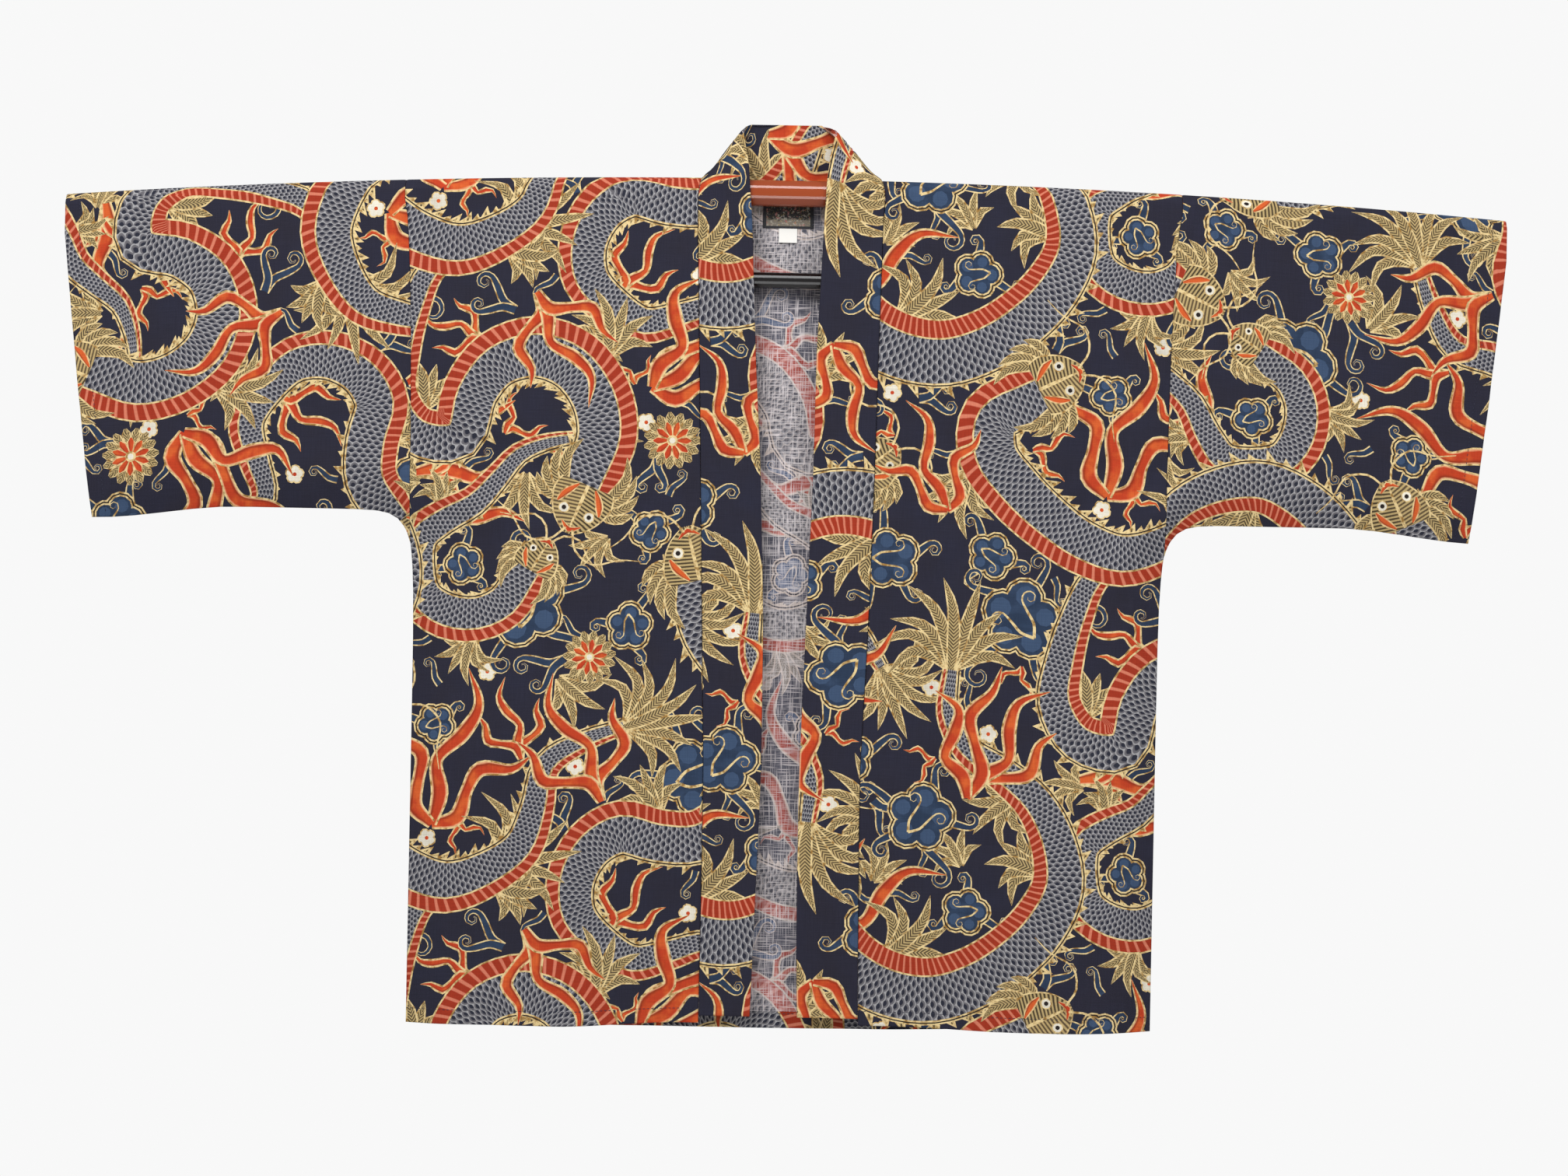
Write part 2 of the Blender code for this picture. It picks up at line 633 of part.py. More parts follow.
def main():
    clear_scene()
    materials = {name: make_material(name) for name in COLOURS}
    cotton = materials["slub_cotton"]
    pieces = [build_back(cotton), build_collar(cotton)]
    for side in (-1, 1):
        pieces.append(build_front(side, cotton))
        pieces.append(build_sleeve(side, cotton))
        pieces.append(build_link(side, materials["black_plastic"]))
    pieces.append(inside_patch("neck_label", LABEL_MIDDLE_X, LABEL_HALF_WIDTH,
                               LABEL_TOP_Z, LABEL_BOTTOM_Z, materials["woven_label"]))
    pieces.append(inside_patch("size_tag", LABEL_MIDDLE_X, TAG_HALF_WIDTH,
                               LABEL_BOTTOM_Z - SEAM_GAP, TAG_BOTTOM_Z, materials["white_tape"]))
    pieces.append(build_rod(materials["brown_plastic"]))
    pieces.append(build_lower_bar(materials["black_plastic"]))
    holder = bpy.data.objects.new("rod_hold", None)
    bpy.context.scene.collection.objects.link(holder)
    for piece in pieces:
        piece.parent = holder


main()
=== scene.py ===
"""Looks of a printed cotton happi coat that hangs on a rod.

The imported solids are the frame. Each cut piece of cloth is a thin shell on its solid's form,
cut along the edges of its print, so every ink is a surface of its own. The print was drawn
for this part: long scaled carp that look like dragons, clouds, streamers, chrysanthemums and
plumes on navy slub cotton.
Metres, +Z up, the coat's front faces -Y, and the origin is the middle of the rod.
"""

import math

import bmesh
import bpy
import numpy as np
from bpy.props import FloatProperty, FloatVectorProperty, PointerProperty
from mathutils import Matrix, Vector
from mathutils.geometry import delaunay_2d_cdt


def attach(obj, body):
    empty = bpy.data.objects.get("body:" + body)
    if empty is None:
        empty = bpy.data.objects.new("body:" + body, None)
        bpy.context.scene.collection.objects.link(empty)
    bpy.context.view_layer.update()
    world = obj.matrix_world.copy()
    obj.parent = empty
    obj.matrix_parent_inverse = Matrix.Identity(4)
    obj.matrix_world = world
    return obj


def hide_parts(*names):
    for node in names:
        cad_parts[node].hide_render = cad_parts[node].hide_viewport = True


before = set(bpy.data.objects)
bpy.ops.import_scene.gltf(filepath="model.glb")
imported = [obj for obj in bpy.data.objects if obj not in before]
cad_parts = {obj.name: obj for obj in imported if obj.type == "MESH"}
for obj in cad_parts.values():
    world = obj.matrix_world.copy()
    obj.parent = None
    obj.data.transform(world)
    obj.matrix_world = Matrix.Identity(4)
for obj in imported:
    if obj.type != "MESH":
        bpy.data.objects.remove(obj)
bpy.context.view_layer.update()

bl_info = {
    "name": "Happi coat looks",
    "version": (1, 0, 0),
    "blender": (4, 5, 0),
    "location": "3D view > Sidebar > Happi coat",
    "description": "Dresses the packed happi coat in printed slub cotton",
    "category": "Object",
}

MM = 0.001

# ---- form of the solids
WALL = 0.0012  # one layer of cotton with its nap
BAND = 0.0024  # the doubled collar band
SEAM_GAP = 0.0003
SHOULDER_EASE = 0.0008
LABEL_WALL = 0.0008
TURN_UP = 0.015
TURN_WALL = 0.001

ROD_APOTHEM = 0.012
ROD_HALF_LENGTH = 0.565
ROD_CLEARANCE = 0.0003
BOW_DROP, BOW_REACH = 0.027, 0.68
OCTAGON = math.tan(math.radians(22.5))

SHOULDER_HALF, ARMHOLE_HALF, ARMHOLE_FADE = 0.366, 0.356, 0.09
SIDE_HALF, UNDERARM_Z, UNDERARM_FADE = 0.3517, -0.336, 0.03
HEM_RISE, HEM_RISE_START, HEM_RISE_FULL = 0.0065, 0.215, 0.09
COLLAR_RISE = 0.0135
SLEEVE_BOTTOM_Z, SLEEVE_FADE = -0.306, 0.0095
SLEEVE_SAG, SLEEVE_SAG_START, SLEEVE_SAG_FULL = 0.0125, 0.52, 0.655
SLEEVE_DIFFERENCE = 0.007
CUFF_FLATTEN = 0.35
HANG_DEPTH, HANG_START, HANG_FADE = 0.0115, 0.02, 0.25
FOLD_START, FOLD_FADE = 0.01, 0.08
CLOSE_WIDTH = 0.045
NECK_SEAM_SHIFT, NECK_EDGE_SHIFT, NECK_SEAM_EASE = -0.002, -0.0055, 0.001
NECK_JOIN_START, NECK_JOIN_END = 0.0755, 0.0818

CUFF_Z = (-0.325, -0.273, -0.184, -0.096, -0.052, 0.02)
CUFF_X = (0.6495, 0.6555, 0.6658, 0.675, 0.6795, 0.6795)
HEM_X = (-0.352, 0.0, 0.1, 0.17, 0.28, 0.352)
HEM_Z = (-0.7895, -0.7902, -0.7895, -0.7873, -0.7877, -0.7845)
COLLAR_Z = (-0.79, -0.699, -0.552, -0.405, -0.258, -0.155, 0.0)
COLLAR_SEAM = {-1: (0.075, 0.0747, 0.0747, 0.0788, 0.083, 0.086, 0.091),
               1: (0.0754, 0.074, 0.0724, 0.078, 0.0812, 0.0825, 0.085)}
COLLAR_EDGE = {-1: (0.027, 0.0245, 0.0203, 0.021, 0.0265, 0.033, 0.04),
               1: (0.0182, 0.0156, 0.0152, 0.0192, 0.0233, 0.024, 0.03)}
# Seam x y z, free edge x y z and outward roll of the band round the neck
NECK_ROWS = (
    (0.0, 0.0143, 0.0105, 0.0, 0.0155, 0.0669, 0.0),
    (0.022, 0.0143, 0.0105, 0.0165, 0.0152, 0.0669, 0.0),
    (0.04, 0.0141, 0.0107, 0.03, 0.0135, 0.0668, 0.001),
    (0.056, 0.0131, 0.0114, 0.038, 0.0098, 0.0655, 0.003),
    (0.067, 0.0098, 0.0126, 0.043, 0.0045, 0.0615, 0.0045),
    (0.0755, 0.0052, 0.0136, 0.0435, -0.002, 0.055, 0.004),
    (0.081, 0.0, 0.0139, 0.0415, -0.008, 0.047, 0.0025),
    (0.084, -0.0056, 0.0138, 0.039, -0.013, 0.035, 0.0015),
    (0.0864, -0.0137, 0.0056, 0.037, -0.0158, 0.019, 0.0005),
    (0.0876, -0.0137, -0.0056, 0.0358, -0.0155, 0.003, 0.0),
)
SHOULDER_NECK_ROW = 6
ROW_HEIGHTS = (
    -0.03, -0.065, -0.105, -0.15, -0.195, -0.232, -0.262, -0.286, -0.305, -0.318,
    -0.328, UNDERARM_Z, -0.346, -0.36, -0.385, -0.425, -0.48, -0.54, -0.6, -0.66,
    -0.71, -0.75,
)

FRONT, BACK = -1, 1
# The solids' soft folds on each face: middle x and z, angle, length, width, depth
FOLDS = {
    FRONT: (
        (-0.315, -0.25, -14, 0.11, 0.016, -0.003), (-0.312, -0.29, -35, 0.12, 0.017, 0.0026),
        (-0.32, -0.345, -52, 0.11, 0.016, -0.0024), (0.318, -0.275, 28, 0.12, 0.018, -0.0024),
        (0.322, -0.33, 48, 0.12, 0.017, 0.0022), (-0.116, -0.09, 88, 0.18, 0.022, 0.0016),
        (-0.52, -0.17, 82, 0.22, 0.03, -0.0022), (0.47, -0.2, 78, 0.18, 0.028, -0.0018),
    ),
    BACK: (
        (-0.318, -0.27, -24, 0.12, 0.018, -0.0026), (-0.32, -0.33, -46, 0.12, 0.017, 0.0022),
        (0.316, -0.262, 22, 0.12, 0.018, -0.0026), (0.32, -0.325, 45, 0.11, 0.017, 0.0024),
        (0.04, -0.15, 86, 0.24, 0.03, 0.0016), (-0.5, -0.19, 80, 0.2, 0.03, -0.002),
        (0.505, -0.16, 84, 0.2, 0.03, -0.002),
    ),
}
# Finer creases that only the shells have, in the same columns
CREASES = {
    FRONT: (
        (-0.3, -0.238, -10, 0.075, 0.006, -0.0011), (-0.286, -0.262, -20, 0.09, 0.007, 0.0009),
        (-0.33, -0.305, -40, 0.07, 0.006, -0.001), (-0.335, -0.385, -66, 0.08, 0.007, -0.0009),
        (-0.338, -0.43, -78, 0.11, 0.008, 0.0008), (0.298, -0.252, 18, 0.08, 0.0065, -0.0009),
        (0.33, -0.3, 42, 0.085, 0.006, -0.001), (0.334, -0.372, 64, 0.09, 0.007, 0.0009),
        (-0.13, -0.16, 84, 0.13, 0.008, 0.0008), (-0.18, -0.52, 86, 0.2, 0.011, -0.0007),
        (0.205, -0.6, 93, 0.22, 0.012, -0.0007), (0.25, -0.14, 97, 0.14, 0.009, 0.0006),
        (-0.43, -0.235, 72, 0.11, 0.008, -0.0009), (-0.59, -0.25, 96, 0.11, 0.008, 0.0008),
        (0.56, -0.245, 86, 0.12, 0.0085, -0.0008), (0.415, -0.255, 104, 0.09, 0.007, 0.0008),
    ),
    BACK: (
        (-0.3, -0.246, -16, 0.08, 0.0065, -0.001), (-0.332, -0.312, -42, 0.08, 0.006, 0.0009),
        (0.304, -0.25, 14, 0.085, 0.0065, -0.001), (0.333, -0.318, 46, 0.075, 0.006, -0.0009),
        (0.336, -0.39, 70, 0.1, 0.007, 0.0008), (-0.15, -0.56, 88, 0.24, 0.012, 0.0008),
        (0.17, -0.48, 92, 0.21, 0.011, -0.0008), (-0.06, -0.12, 80, 0.13, 0.009, -0.0007),
        (-0.45, -0.23, 80, 0.11, 0.008, 0.0008), (0.56, -0.24, 92, 0.11, 0.008, -0.0008),
    ),
}
# Slow waves: length, phase, depth
WAVES = {
    FRONT: ((0.265, 0.02, 0.0013), (0.152, 0.075, 0.0006)),
    BACK: ((0.31, -0.06, 0.0015), (0.178, 0.03, 0.0007)),
}
WAVE_START, WAVE_FULL = -0.1, -0.75
RIPPLE_DEPTH = 0.00028  # the cotton's unevenness, which the solids don't have
RIPPLE_LENGTHS = ((0.061, 0.083), (0.037, 0.052), (0.094, 0.041))

LABEL_MIDDLE_X, LABEL_HALF_WIDTH = -0.005, 0.024
LABEL_TOP_Z, LABEL_BOTTOM_Z = -0.007, -0.0315
TAG_HALF_WIDTH, TAG_BOTTOM_Z = 0.0086, -0.0452


def ease(value):
    """0 below 0, 1 above 1, and a smooth rise between."""
    value = np.clip(value, 0.0, 1.0)
    return value * value * (3.0 - 2.0 * value)


def unit_rows(vectors):
    """Each row made one long."""
    return vectors / np.maximum(np.linalg.norm(vectors, axis=1), 1e-12)[:, None]


def distances(points):
    """Length along a run of points up to each of them."""
    return np.concatenate([[0.0], np.cumsum(np.linalg.norm(np.diff(points, axis=0), axis=1))])


def curve_spans(points):
    """Each two neighbours in a run of points, with the point before and the point after them."""
    padded = np.vstack([2 * points[0] - points[1], points, 2 * points[-1] - points[-2]])
    return zip(padded, padded[1:], padded[2:], padded[3:])


def curve_point(a, b, c, d, t):
    """The place at the share t from b to c on the smooth curve through all four."""
    return 0.5 * (2 * b + (c - a) * t + (2 * a - 5 * b + 4 * c - d) * t * t
                  + (3 * b - a - 3 * c + d) * t ** 3)


def bow(x):
    """How far the rod's middle line lies below its centre at x."""
    return BOW_DROP * (x / BOW_REACH) ** 2


def side_x(z):
    """Half width of the body: the armhole seam, and below it the side seam."""
    flare = SHOULDER_HALF - ARMHOLE_HALF
    armhole = ARMHOLE_HALF + flare * np.exp(np.minimum(z, 0.0) / ARMHOLE_FADE)
    corner = ARMHOLE_HALF + flare * math.exp(UNDERARM_Z / ARMHOLE_FADE)
    side = SIDE_HALF + (corner - SIDE_HALF) * np.exp(np.minimum(z - UNDERARM_Z, 0.0) / UNDERARM_FADE)
    return np.where(z > UNDERARM_Z, armhole, side)


def sleeve_bottom(x):
    """Height of a sleeve's lower edge at the distance x from the coat's middle."""
    corner = (SLEEVE_BOTTOM_Z - UNDERARM_Z) * np.exp(np.minimum(ARMHOLE_HALF - x, 0.0) / SLEEVE_FADE)
    sag = SLEEVE_SAG * ease((x - SLEEVE_SAG_START) / (SLEEVE_SAG_FULL - SLEEVE_SAG_START))
    return SLEEVE_BOTTOM_Z - corner - sag


def back_hem(x):
    """Height of the back's hem."""
    return np.interp(x, HEM_X, HEM_Z)


def front_hem(x):
    """Height of the fronts' hem, which rises towards the opening."""
    rise = ease((HEM_RISE_START - np.abs(x)) / (HEM_RISE_START - HEM_RISE_FULL))
    return back_hem(x) + HEM_RISE * rise


def fold_height(face, x, z):
    """Folds, creases, waves and ripples of one face, outward."""
    height = np.zeros_like(x)
    for fx, fz, angle, length, width, depth in FOLDS[face] + CREASES[face]:
        turn = math.radians(angle)
        along = (x - fx) * math.cos(turn) + (z - fz) * math.sin(turn)
        across = (z - fz) * math.cos(turn) - (x - fx) * math.sin(turn)
        height += depth * np.exp(-(2.0 * along / length) ** 4 - (across / width) ** 2)
    grow = ease((z - WAVE_START) / (WAVE_FULL - WAVE_START))
    for length, phase, depth in WAVES[face]:
        height += depth * grow * np.sin(2.0 * math.pi * (x - phase) / length)
    for index, (across, down) in enumerate(RIPPLE_LENGTHS):
        height += RIPPLE_DEPTH * np.sin(2.0 * math.pi * x / across + face + index) * np.sin(
            2.0 * math.pi * z / down + 2.0 * index - face)
    return height


def past_rod(x):
    """1 over the rod, and less where the sleeve flattens past its end."""
    return 1.0 - CUFF_FLATTEN * ease((np.abs(x) - ROD_HALF_LENGTH) / (BOW_REACH - ROD_HALF_LENGTH))


def closing(distance):
    """0 at a closed seam, 1 where front and back hang freely apart."""
    return np.sin(0.5 * math.pi * np.clip(distance / CLOSE_WIDTH, 0.0, 1.0))


def body_closing(x, z):
    """The same for the body, which is closed at its side seams and underarms."""
    above = np.hypot(float(side_x(np.float64(UNDERARM_Z))) - np.abs(x), z - UNDERARM_Z)
    return closing(np.where(z > UNDERARM_Z, above, side_x(z) - np.abs(x)))


def panel_depth(face, x, z, closed):
    """Distance from the middle plane to the middle of a panel's cloth."""
    top = ROD_APOTHEM + ROD_CLEARANCE + WALL / 2.0
    hang = top + (HANG_DEPTH - top) * ease((-z - HANG_START) / HANG_FADE)
    at_seam = (SEAM_GAP + WALL) / 2.0
    free = hang * past_rod(x) + fold_height(face, x, z) * ease((-z - FOLD_START) / FOLD_FADE)
    return at_seam + (free - at_seam) * closed


# Cloth over the rod, by its length up from the corner where it leaves the octagon
ARCH_APOTHEM = ROD_APOTHEM + ROD_CLEARANCE + WALL / 2.0
ARCH_CORNER = ARCH_APOTHEM * OCTAGON
ARCH_STOPS = (0.0, 2.0 * ARCH_CORNER, 4.0 * ARCH_CORNER, 5.0 * ARCH_CORNER)
ARCH_LENGTH = ARCH_STOPS[-1]
ARCH_ROUND = 0.0017  # half length of the rounding at each corner


def arch_top_z(x):
    """Height where the cloth leaves the rod and hangs."""
    return -ARCH_CORNER - bow(x)


def neck_path(x, outward):
    """The back's two upper points where it ends under the collar: (second y, z), (first y, z)."""
    across = np.abs(x - NECK_SEAM_SHIFT)
    rows = np.array(NECK_ROWS[:SHOULDER_NECK_ROW + 1])
    seam_y = np.interp(across, rows[:, 0], rows[:, 1]) - (BAND - WALL) / 2.0
    seam_z = np.interp(across, rows[:, 0], rows[:, 2]) - SEAM_GAP
    upright = ease(seam_y / ROD_APOTHEM)
    size = np.hypot(upright, 1.0 - upright)
    seam_y = seam_y + outward * upright / size
    seam_z = seam_z + outward * (1.0 - upright) / size
    apothem = ARCH_APOTHEM + outward
    corner = apothem * OCTAGON
    share = upright ** 3
    second_y = corner + ((seam_y + apothem) / 2.0 - corner) * share
    second_z = apothem + ((seam_z + corner) / 2.0 - apothem) * share
    length = np.hypot(second_y - seam_y, second_z - seam_z)
    first_y = seam_y + (second_y - seam_y) / length * NECK_SEAM_EASE
    first_z = seam_z + (second_z - seam_z) / length * NECK_SEAM_EASE
    return second_y, second_z, first_y, first_z


def arch_place(x, up, outward, ridge, neck):
    """(y, z) of the cloth over the rod, up metres above where it leaves it."""
    apothem = ARCH_APOTHEM + outward
    corner = apothem * OCTAGON
    upper = (corner, apothem, ridge, apothem)
    if neck:
        under = 1.0 - ease((np.abs(x - NECK_SEAM_SHIFT) - NECK_JOIN_START)
                           / (NECK_JOIN_END - NECK_JOIN_START))
        upper = [free + (sewn - free) * under for free, sewn in zip(upper, neck_path(x, outward))]
    second_y, second_z, first_y, first_z = upper
    y, z = 0.0, 0.0
    for step, weight in ((-ARCH_ROUND, 0.25), (0.0, 0.5), (ARCH_ROUND, 0.25)):
        r = up + step
        if neck:
            r = np.where(up > ARCH_LENGTH - ARCH_ROUND, up, r)
        legs = ((apothem, -corner, apothem, corner), (apothem, corner, second_y, second_z),
                (second_y, second_z, first_y, first_z))
        py, pz = apothem + 0.0 * r, -corner + np.minimum(r, 0.0)
        for (y0, z0, y1, z1), start, end in zip(legs, ARCH_STOPS, ARCH_STOPS[1:]):
            share = (r - start) / (end - start)
            share = np.maximum(share, 0.0) if end == ARCH_LENGTH else np.clip(share, 0.0, 1.0)
            on = r > start
            py = np.where(on, y0 + (y1 - y0) * share, py)
            pz = np.where(on, z0 + (z1 - z0) * share, pz)
        y = y + weight * py
        z = z + weight * pz
    return y, z


def hang_place(face, x, down, outward, closed_of, ridge=SEAM_GAP / 2.0, neck=False):
    """A panel's points: down is the length along the cloth from where it leaves the rod."""
    z = arch_top_z(x) - np.maximum(down, 0.0)
    y = panel_depth(face, x, z, closed_of(x, z)) + outward
    near = down < ARCH_ROUND
    blend = np.clip((ARCH_ROUND - down) / (2.0 * ARCH_ROUND), 0.0, 1.0)
    over_y, over_z = arch_place(x, -down, outward, ridge, neck)
    over_y, over_z = over_y * past_rod(x), over_z - bow(x)
    y = np.where(near, y + (over_y - y) * blend, y)
    z = np.where(near, z + (over_z - z) * blend, z)
    return np.stack([x, face * y, z], 1)


def back_place(flat, outward):
    x, down = flat[:, 0] * MM, flat[:, 1] * MM
    return hang_place(BACK, x, down, outward, body_closing, neck=True)


def front_place(flat, outward):
    x, down = flat[:, 0] * MM, flat[:, 1] * MM
    return hang_place(FRONT, x, down, outward, body_closing)


def sleeve_place(flat, outward):
    """Round the sleeve: the second number is minus on the front, 0 on the ridge, plus behind."""
    x, round_it = flat[:, 0] * MM, flat[:, 1] * MM
    down = np.abs(round_it) - ARCH_LENGTH

    def closed(at_x, at_z):
        return closing(at_z - sleeve_bottom(np.abs(at_x)))

    front = hang_place(FRONT, x, down, outward, closed, ridge=0.0)
    back = hang_place(BACK, x, down, outward, closed, ridge=0.0)
    return np.where((round_it < 0.0)[:, None], front, back)


STATION_STEPS = 5  # rows of the band from one station to the next
TIGHT_SPAN = 0.02  # stations closer than this are joined by a curve


def collar_stations():
    """Rows of distance along the band, seam, free edge, roll and normal, from the right front's
    hem round the neck to the left front's."""
    halves = []
    end = float(back_hem(0.0)) + COLLAR_RISE
    for side in (-1, 1):
        half = [np.array((side * r[0] + NECK_SEAM_SHIFT, r[1], r[2],
                          side * r[3] + NECK_EDGE_SHIFT, r[4], r[5], r[6])) for r in NECK_ROWS]
        for z in ROW_HEIGHTS + (end,):
            row = []
            for table, inward in ((COLLAR_SEAM, SEAM_GAP), (COLLAR_EDGE, 0.0)):
                x = side * (np.interp(z, COLLAR_Z, table[side]) - inward)
                depth = panel_depth(FRONT, np.array([x]), np.array([z]), 1.0)[0]
                row += [x, -depth - (BAND - WALL) / 2.0, z]
            half.append(np.array(row + [0.0]))
        halves.append(half)
    given = np.array(halves[0][::-1] + halves[1][1:])
    rows = []
    for a, b, c, d in curve_spans(given):
        tight = np.linalg.norm(c[:3] - b[:3]) < TIGHT_SPAN
        for t in np.arange(STATION_STEPS) / STATION_STEPS:
            rows.append(curve_point(a, b, c, d, t) if tight else b + (c - b) * t)
    rows = np.array(rows + [given[-1]])
    middle = (rows[:, :3] + rows[:, 3:6]) / 2.0
    normal = unit_rows(np.cross(rows[:, 3:6] - rows[:, :3], np.gradient(middle, axis=0)))
    return np.column_stack([distances(middle), rows, normal])


COLLAR = collar_stations()
COLLAR_LENGTH = COLLAR[-1, 0]
COLLAR_WIDTH = 0.0540  # the band's flat width, seam to fold
COLLAR_TURN = 0.0012  # rounding of its fold
THINNEST = 0.00003  # half of the band's thickness at least, so that it never turns over


def collar_place(flat, outward):
    """Round the band: the second number is minus on the outside, 0 on the fold, plus inside."""
    along, round_it = flat[:, 0] * MM, flat[:, 1] * MM
    got = np.stack([np.interp(along, COLLAR[:, 0], COLLAR[:, k]) for k in range(1, 11)], 1)
    seam, edge, roll, normal = got[:, :3], got[:, 3:6], got[:, 6], unit_rows(got[:, 7:10])
    share = 1.0 - np.abs(round_it) / COLLAR_WIDTH
    turn = np.clip(np.abs(round_it) / COLLAR_TURN, 0.0, 1.0)
    half = np.maximum((BAND - WALL) / 2.0 + outward, THINNEST)
    side = np.where(round_it <= 0.0, 1.0, -1.0)
    lift = side * half * np.sqrt(np.maximum(1.0 - (1.0 - turn) ** 2, 0.0))
    bulge = roll * 4.0 * share * (1.0 - share)
    return seam + (edge - seam) * share[:, None] + normal * (bulge + lift)[:, None]


# ---- cut of the panels
# A cut is its corners in millimetres on the flat cloth, and what each side is: "seam", "hem"
# (turned up inside) or "edge".

HEM_SPACING = 0.02
FRONT_EDGE_X = 0.0750  # where a front's hem meets the collar
# Corners of a sleeve: shares of its lower seam's length, and heights up the cuff
SEAM_SHARES = (0.01, 0.02, 0.04, 0.07, 0.11, 0.17, 0.25, 0.33, 0.42, 0.51, 0.60, 0.69, 0.78, 0.87, 0.94)
CUFF_HEIGHTS = (-0.30, -0.273, -0.24, -0.21, -0.184, -0.15, -0.12, -0.096, -0.07, -0.052)
COLLAR_STEPS = 60


def rows_to(last):
    """Heights down a side to its hem, with one where the turned-up cloth ends."""
    return [z for z in ROW_HEIGHTS if z > last + TURN_UP * 1.2] + [last + TURN_UP, last]


def side_points(side, rows, inset):
    """The edge at the armhole and side seam, from the shoulder line down."""
    top = side * (SHOULDER_HALF - inset)
    points = [(top, -ARCH_LENGTH), (top, 0.0)]
    for z in rows:
        x = side * (float(side_x(np.float64(z))) - inset)
        points.append((x, arch_top_z(x) - z))
    return points


def hem_points(first, last, hem):
    """Points along a hem between two x, both ends left out."""
    count = max(2, int(abs(last - first) / HEM_SPACING))
    places = [first + (last - first) * k / count for k in range(1, count)]
    return [(x, arch_top_z(x) - float(hem(x))) for x in places]


def joined(*runs):
    """One cut from runs of (kind, points), each run ending where the next one starts."""
    corners, kinds = [], []
    for kind, points in runs:
        corners += points
        kinds += [kind] * len(points)
    return np.array(corners) / MM, kinds


def back_cut():
    """The back, from the shoulder line to the hem."""
    inset = SEAM_GAP / 2.0
    right = side_points(1, rows_to(float(back_hem(HEM_X[-1]))), inset)
    left = side_points(-1, rows_to(float(back_hem(HEM_X[0]))), inset)
    return joined(("seam", right[:-1]),
                  ("hem", right[-1:] + hem_points(right[-1][0], left[-1][0], back_hem)),
                  ("seam", left[::-1]))


def front_cut(side):
    """One front, from the shoulder line to the hem and from the side to the collar."""
    inset = SEAM_GAP / 2.0
    outside = side_points(side, rows_to(float(front_hem(side * SIDE_HALF))), inset)
    beside = []
    for level in range(4):
        x = NECK_ROWS[SHOULDER_NECK_ROW + level][0] + side * NECK_SEAM_SHIFT + SHOULDER_EASE
        beside.append((side * x, -ARCH_STOPS[3 - level]))
    for z in rows_to(float(front_hem(side * FRONT_EDGE_X))):
        x = float(np.interp(z, COLLAR_Z, COLLAR_SEAM[side])) + inset
        beside.append((side * x, float(arch_top_z(x)) - z))
    return joined(("seam", outside[:-1]),
                  ("hem", outside[-1:] + hem_points(outside[-1][0], beside[-1][0], front_hem)),
                  ("seam", beside[::-1]))


def sleeve_cut(side):
    """One cloth from the front's lower seam over the rod to the back's."""
    extra = -side * SLEEVE_DIFFERENCE
    armhole = side_points(side, [z for z in ROW_HEIGHTS if z >= UNDERARM_Z], -SEAM_GAP / 2.0)
    start, end = abs(armhole[-1][0]), CUFF_X[0] + extra
    bottom, cuff = [], []
    for share in SEAM_SHARES:
        x = start + (end - start) * share
        bottom.append((side * x, arch_top_z(x) - float(sleeve_bottom(x))))
    for z in (float(sleeve_bottom(end)),) + CUFF_HEIGHTS:
        x = float(np.interp(z, CUFF_Z, CUFF_X)) + extra
        cuff.append((side * x, arch_top_z(x) - z))
    top = side * (CUFF_X[-1] + extra)
    cuff += [(top, 0.0), (top, -ARCH_LENGTH)]
    turned = [(x, down + ARCH_LENGTH) for x, down in armhole + bottom + cuff]
    count, low_count = len(armhole), len(bottom)
    behind = (turned[:count], turned[count - 1:count + low_count], turned[count + low_count:])
    before = [[(x, -down) for x, down in run[::-1]] for run in behind]
    return joined(("seam", behind[0][:-1]), ("seam", behind[1]), ("hem", behind[2]),
                  ("hem", before[2][1:-1]), ("seam", before[2][-1:] + before[1][:-1]),
                  ("seam", before[0][:-1]))


def collar_cut():
    """The band laid flat, its fold along the middle."""
    stops = [COLLAR_LENGTH * k / COLLAR_STEPS for k in range(COLLAR_STEPS + 1)]
    outside = [(s, -COLLAR_WIDTH) for s in stops]
    inside = [(s, COLLAR_WIDTH) for s in stops[::-1]]
    return joined(("seam", outside[:-1]), ("edge", outside[-1:]),
                  ("seam", inside[:-1]), ("edge", inside[-1:]))


def across_lines(cut, levels):
    """Lines over a panel at some lengths down the cloth, in millimetres."""
    low, high = cut.min(0)[0], cut.max(0)[0]
    return [((low, v / MM), (high, v / MM)) for v in levels]


def arch_levels():
    """Lengths up the cloth over the rod where it bends."""
    return sorted({stop + step for stop in ARCH_STOPS[:3] for step in (-ARCH_ROUND, 0.0, ARCH_ROUND)})


def hang_lines(cut):
    """Lines where a hanging panel bends over the rod."""
    return across_lines(cut, [-v for v in arch_levels()])


def sleeve_lines(cut):
    """The same on both sides of a sleeve's ridge."""
    levels = [ARCH_LENGTH - v for v in arch_levels()]
    return across_lines(cut, sorted([-v for v in levels] + [0.0] + levels))


def collar_lines(cut):
    """Lines along the band's rounded fold."""
    return across_lines(cut, (-COLLAR_TURN, -COLLAR_TURN * 0.4, 0.0, COLLAR_TURN * 0.4, COLLAR_TURN))


# ---- the print's drawing
# The repeat is drawn in millimetres. A patch is a small convex shape in one ink. Later
# patches lie over earlier ones.

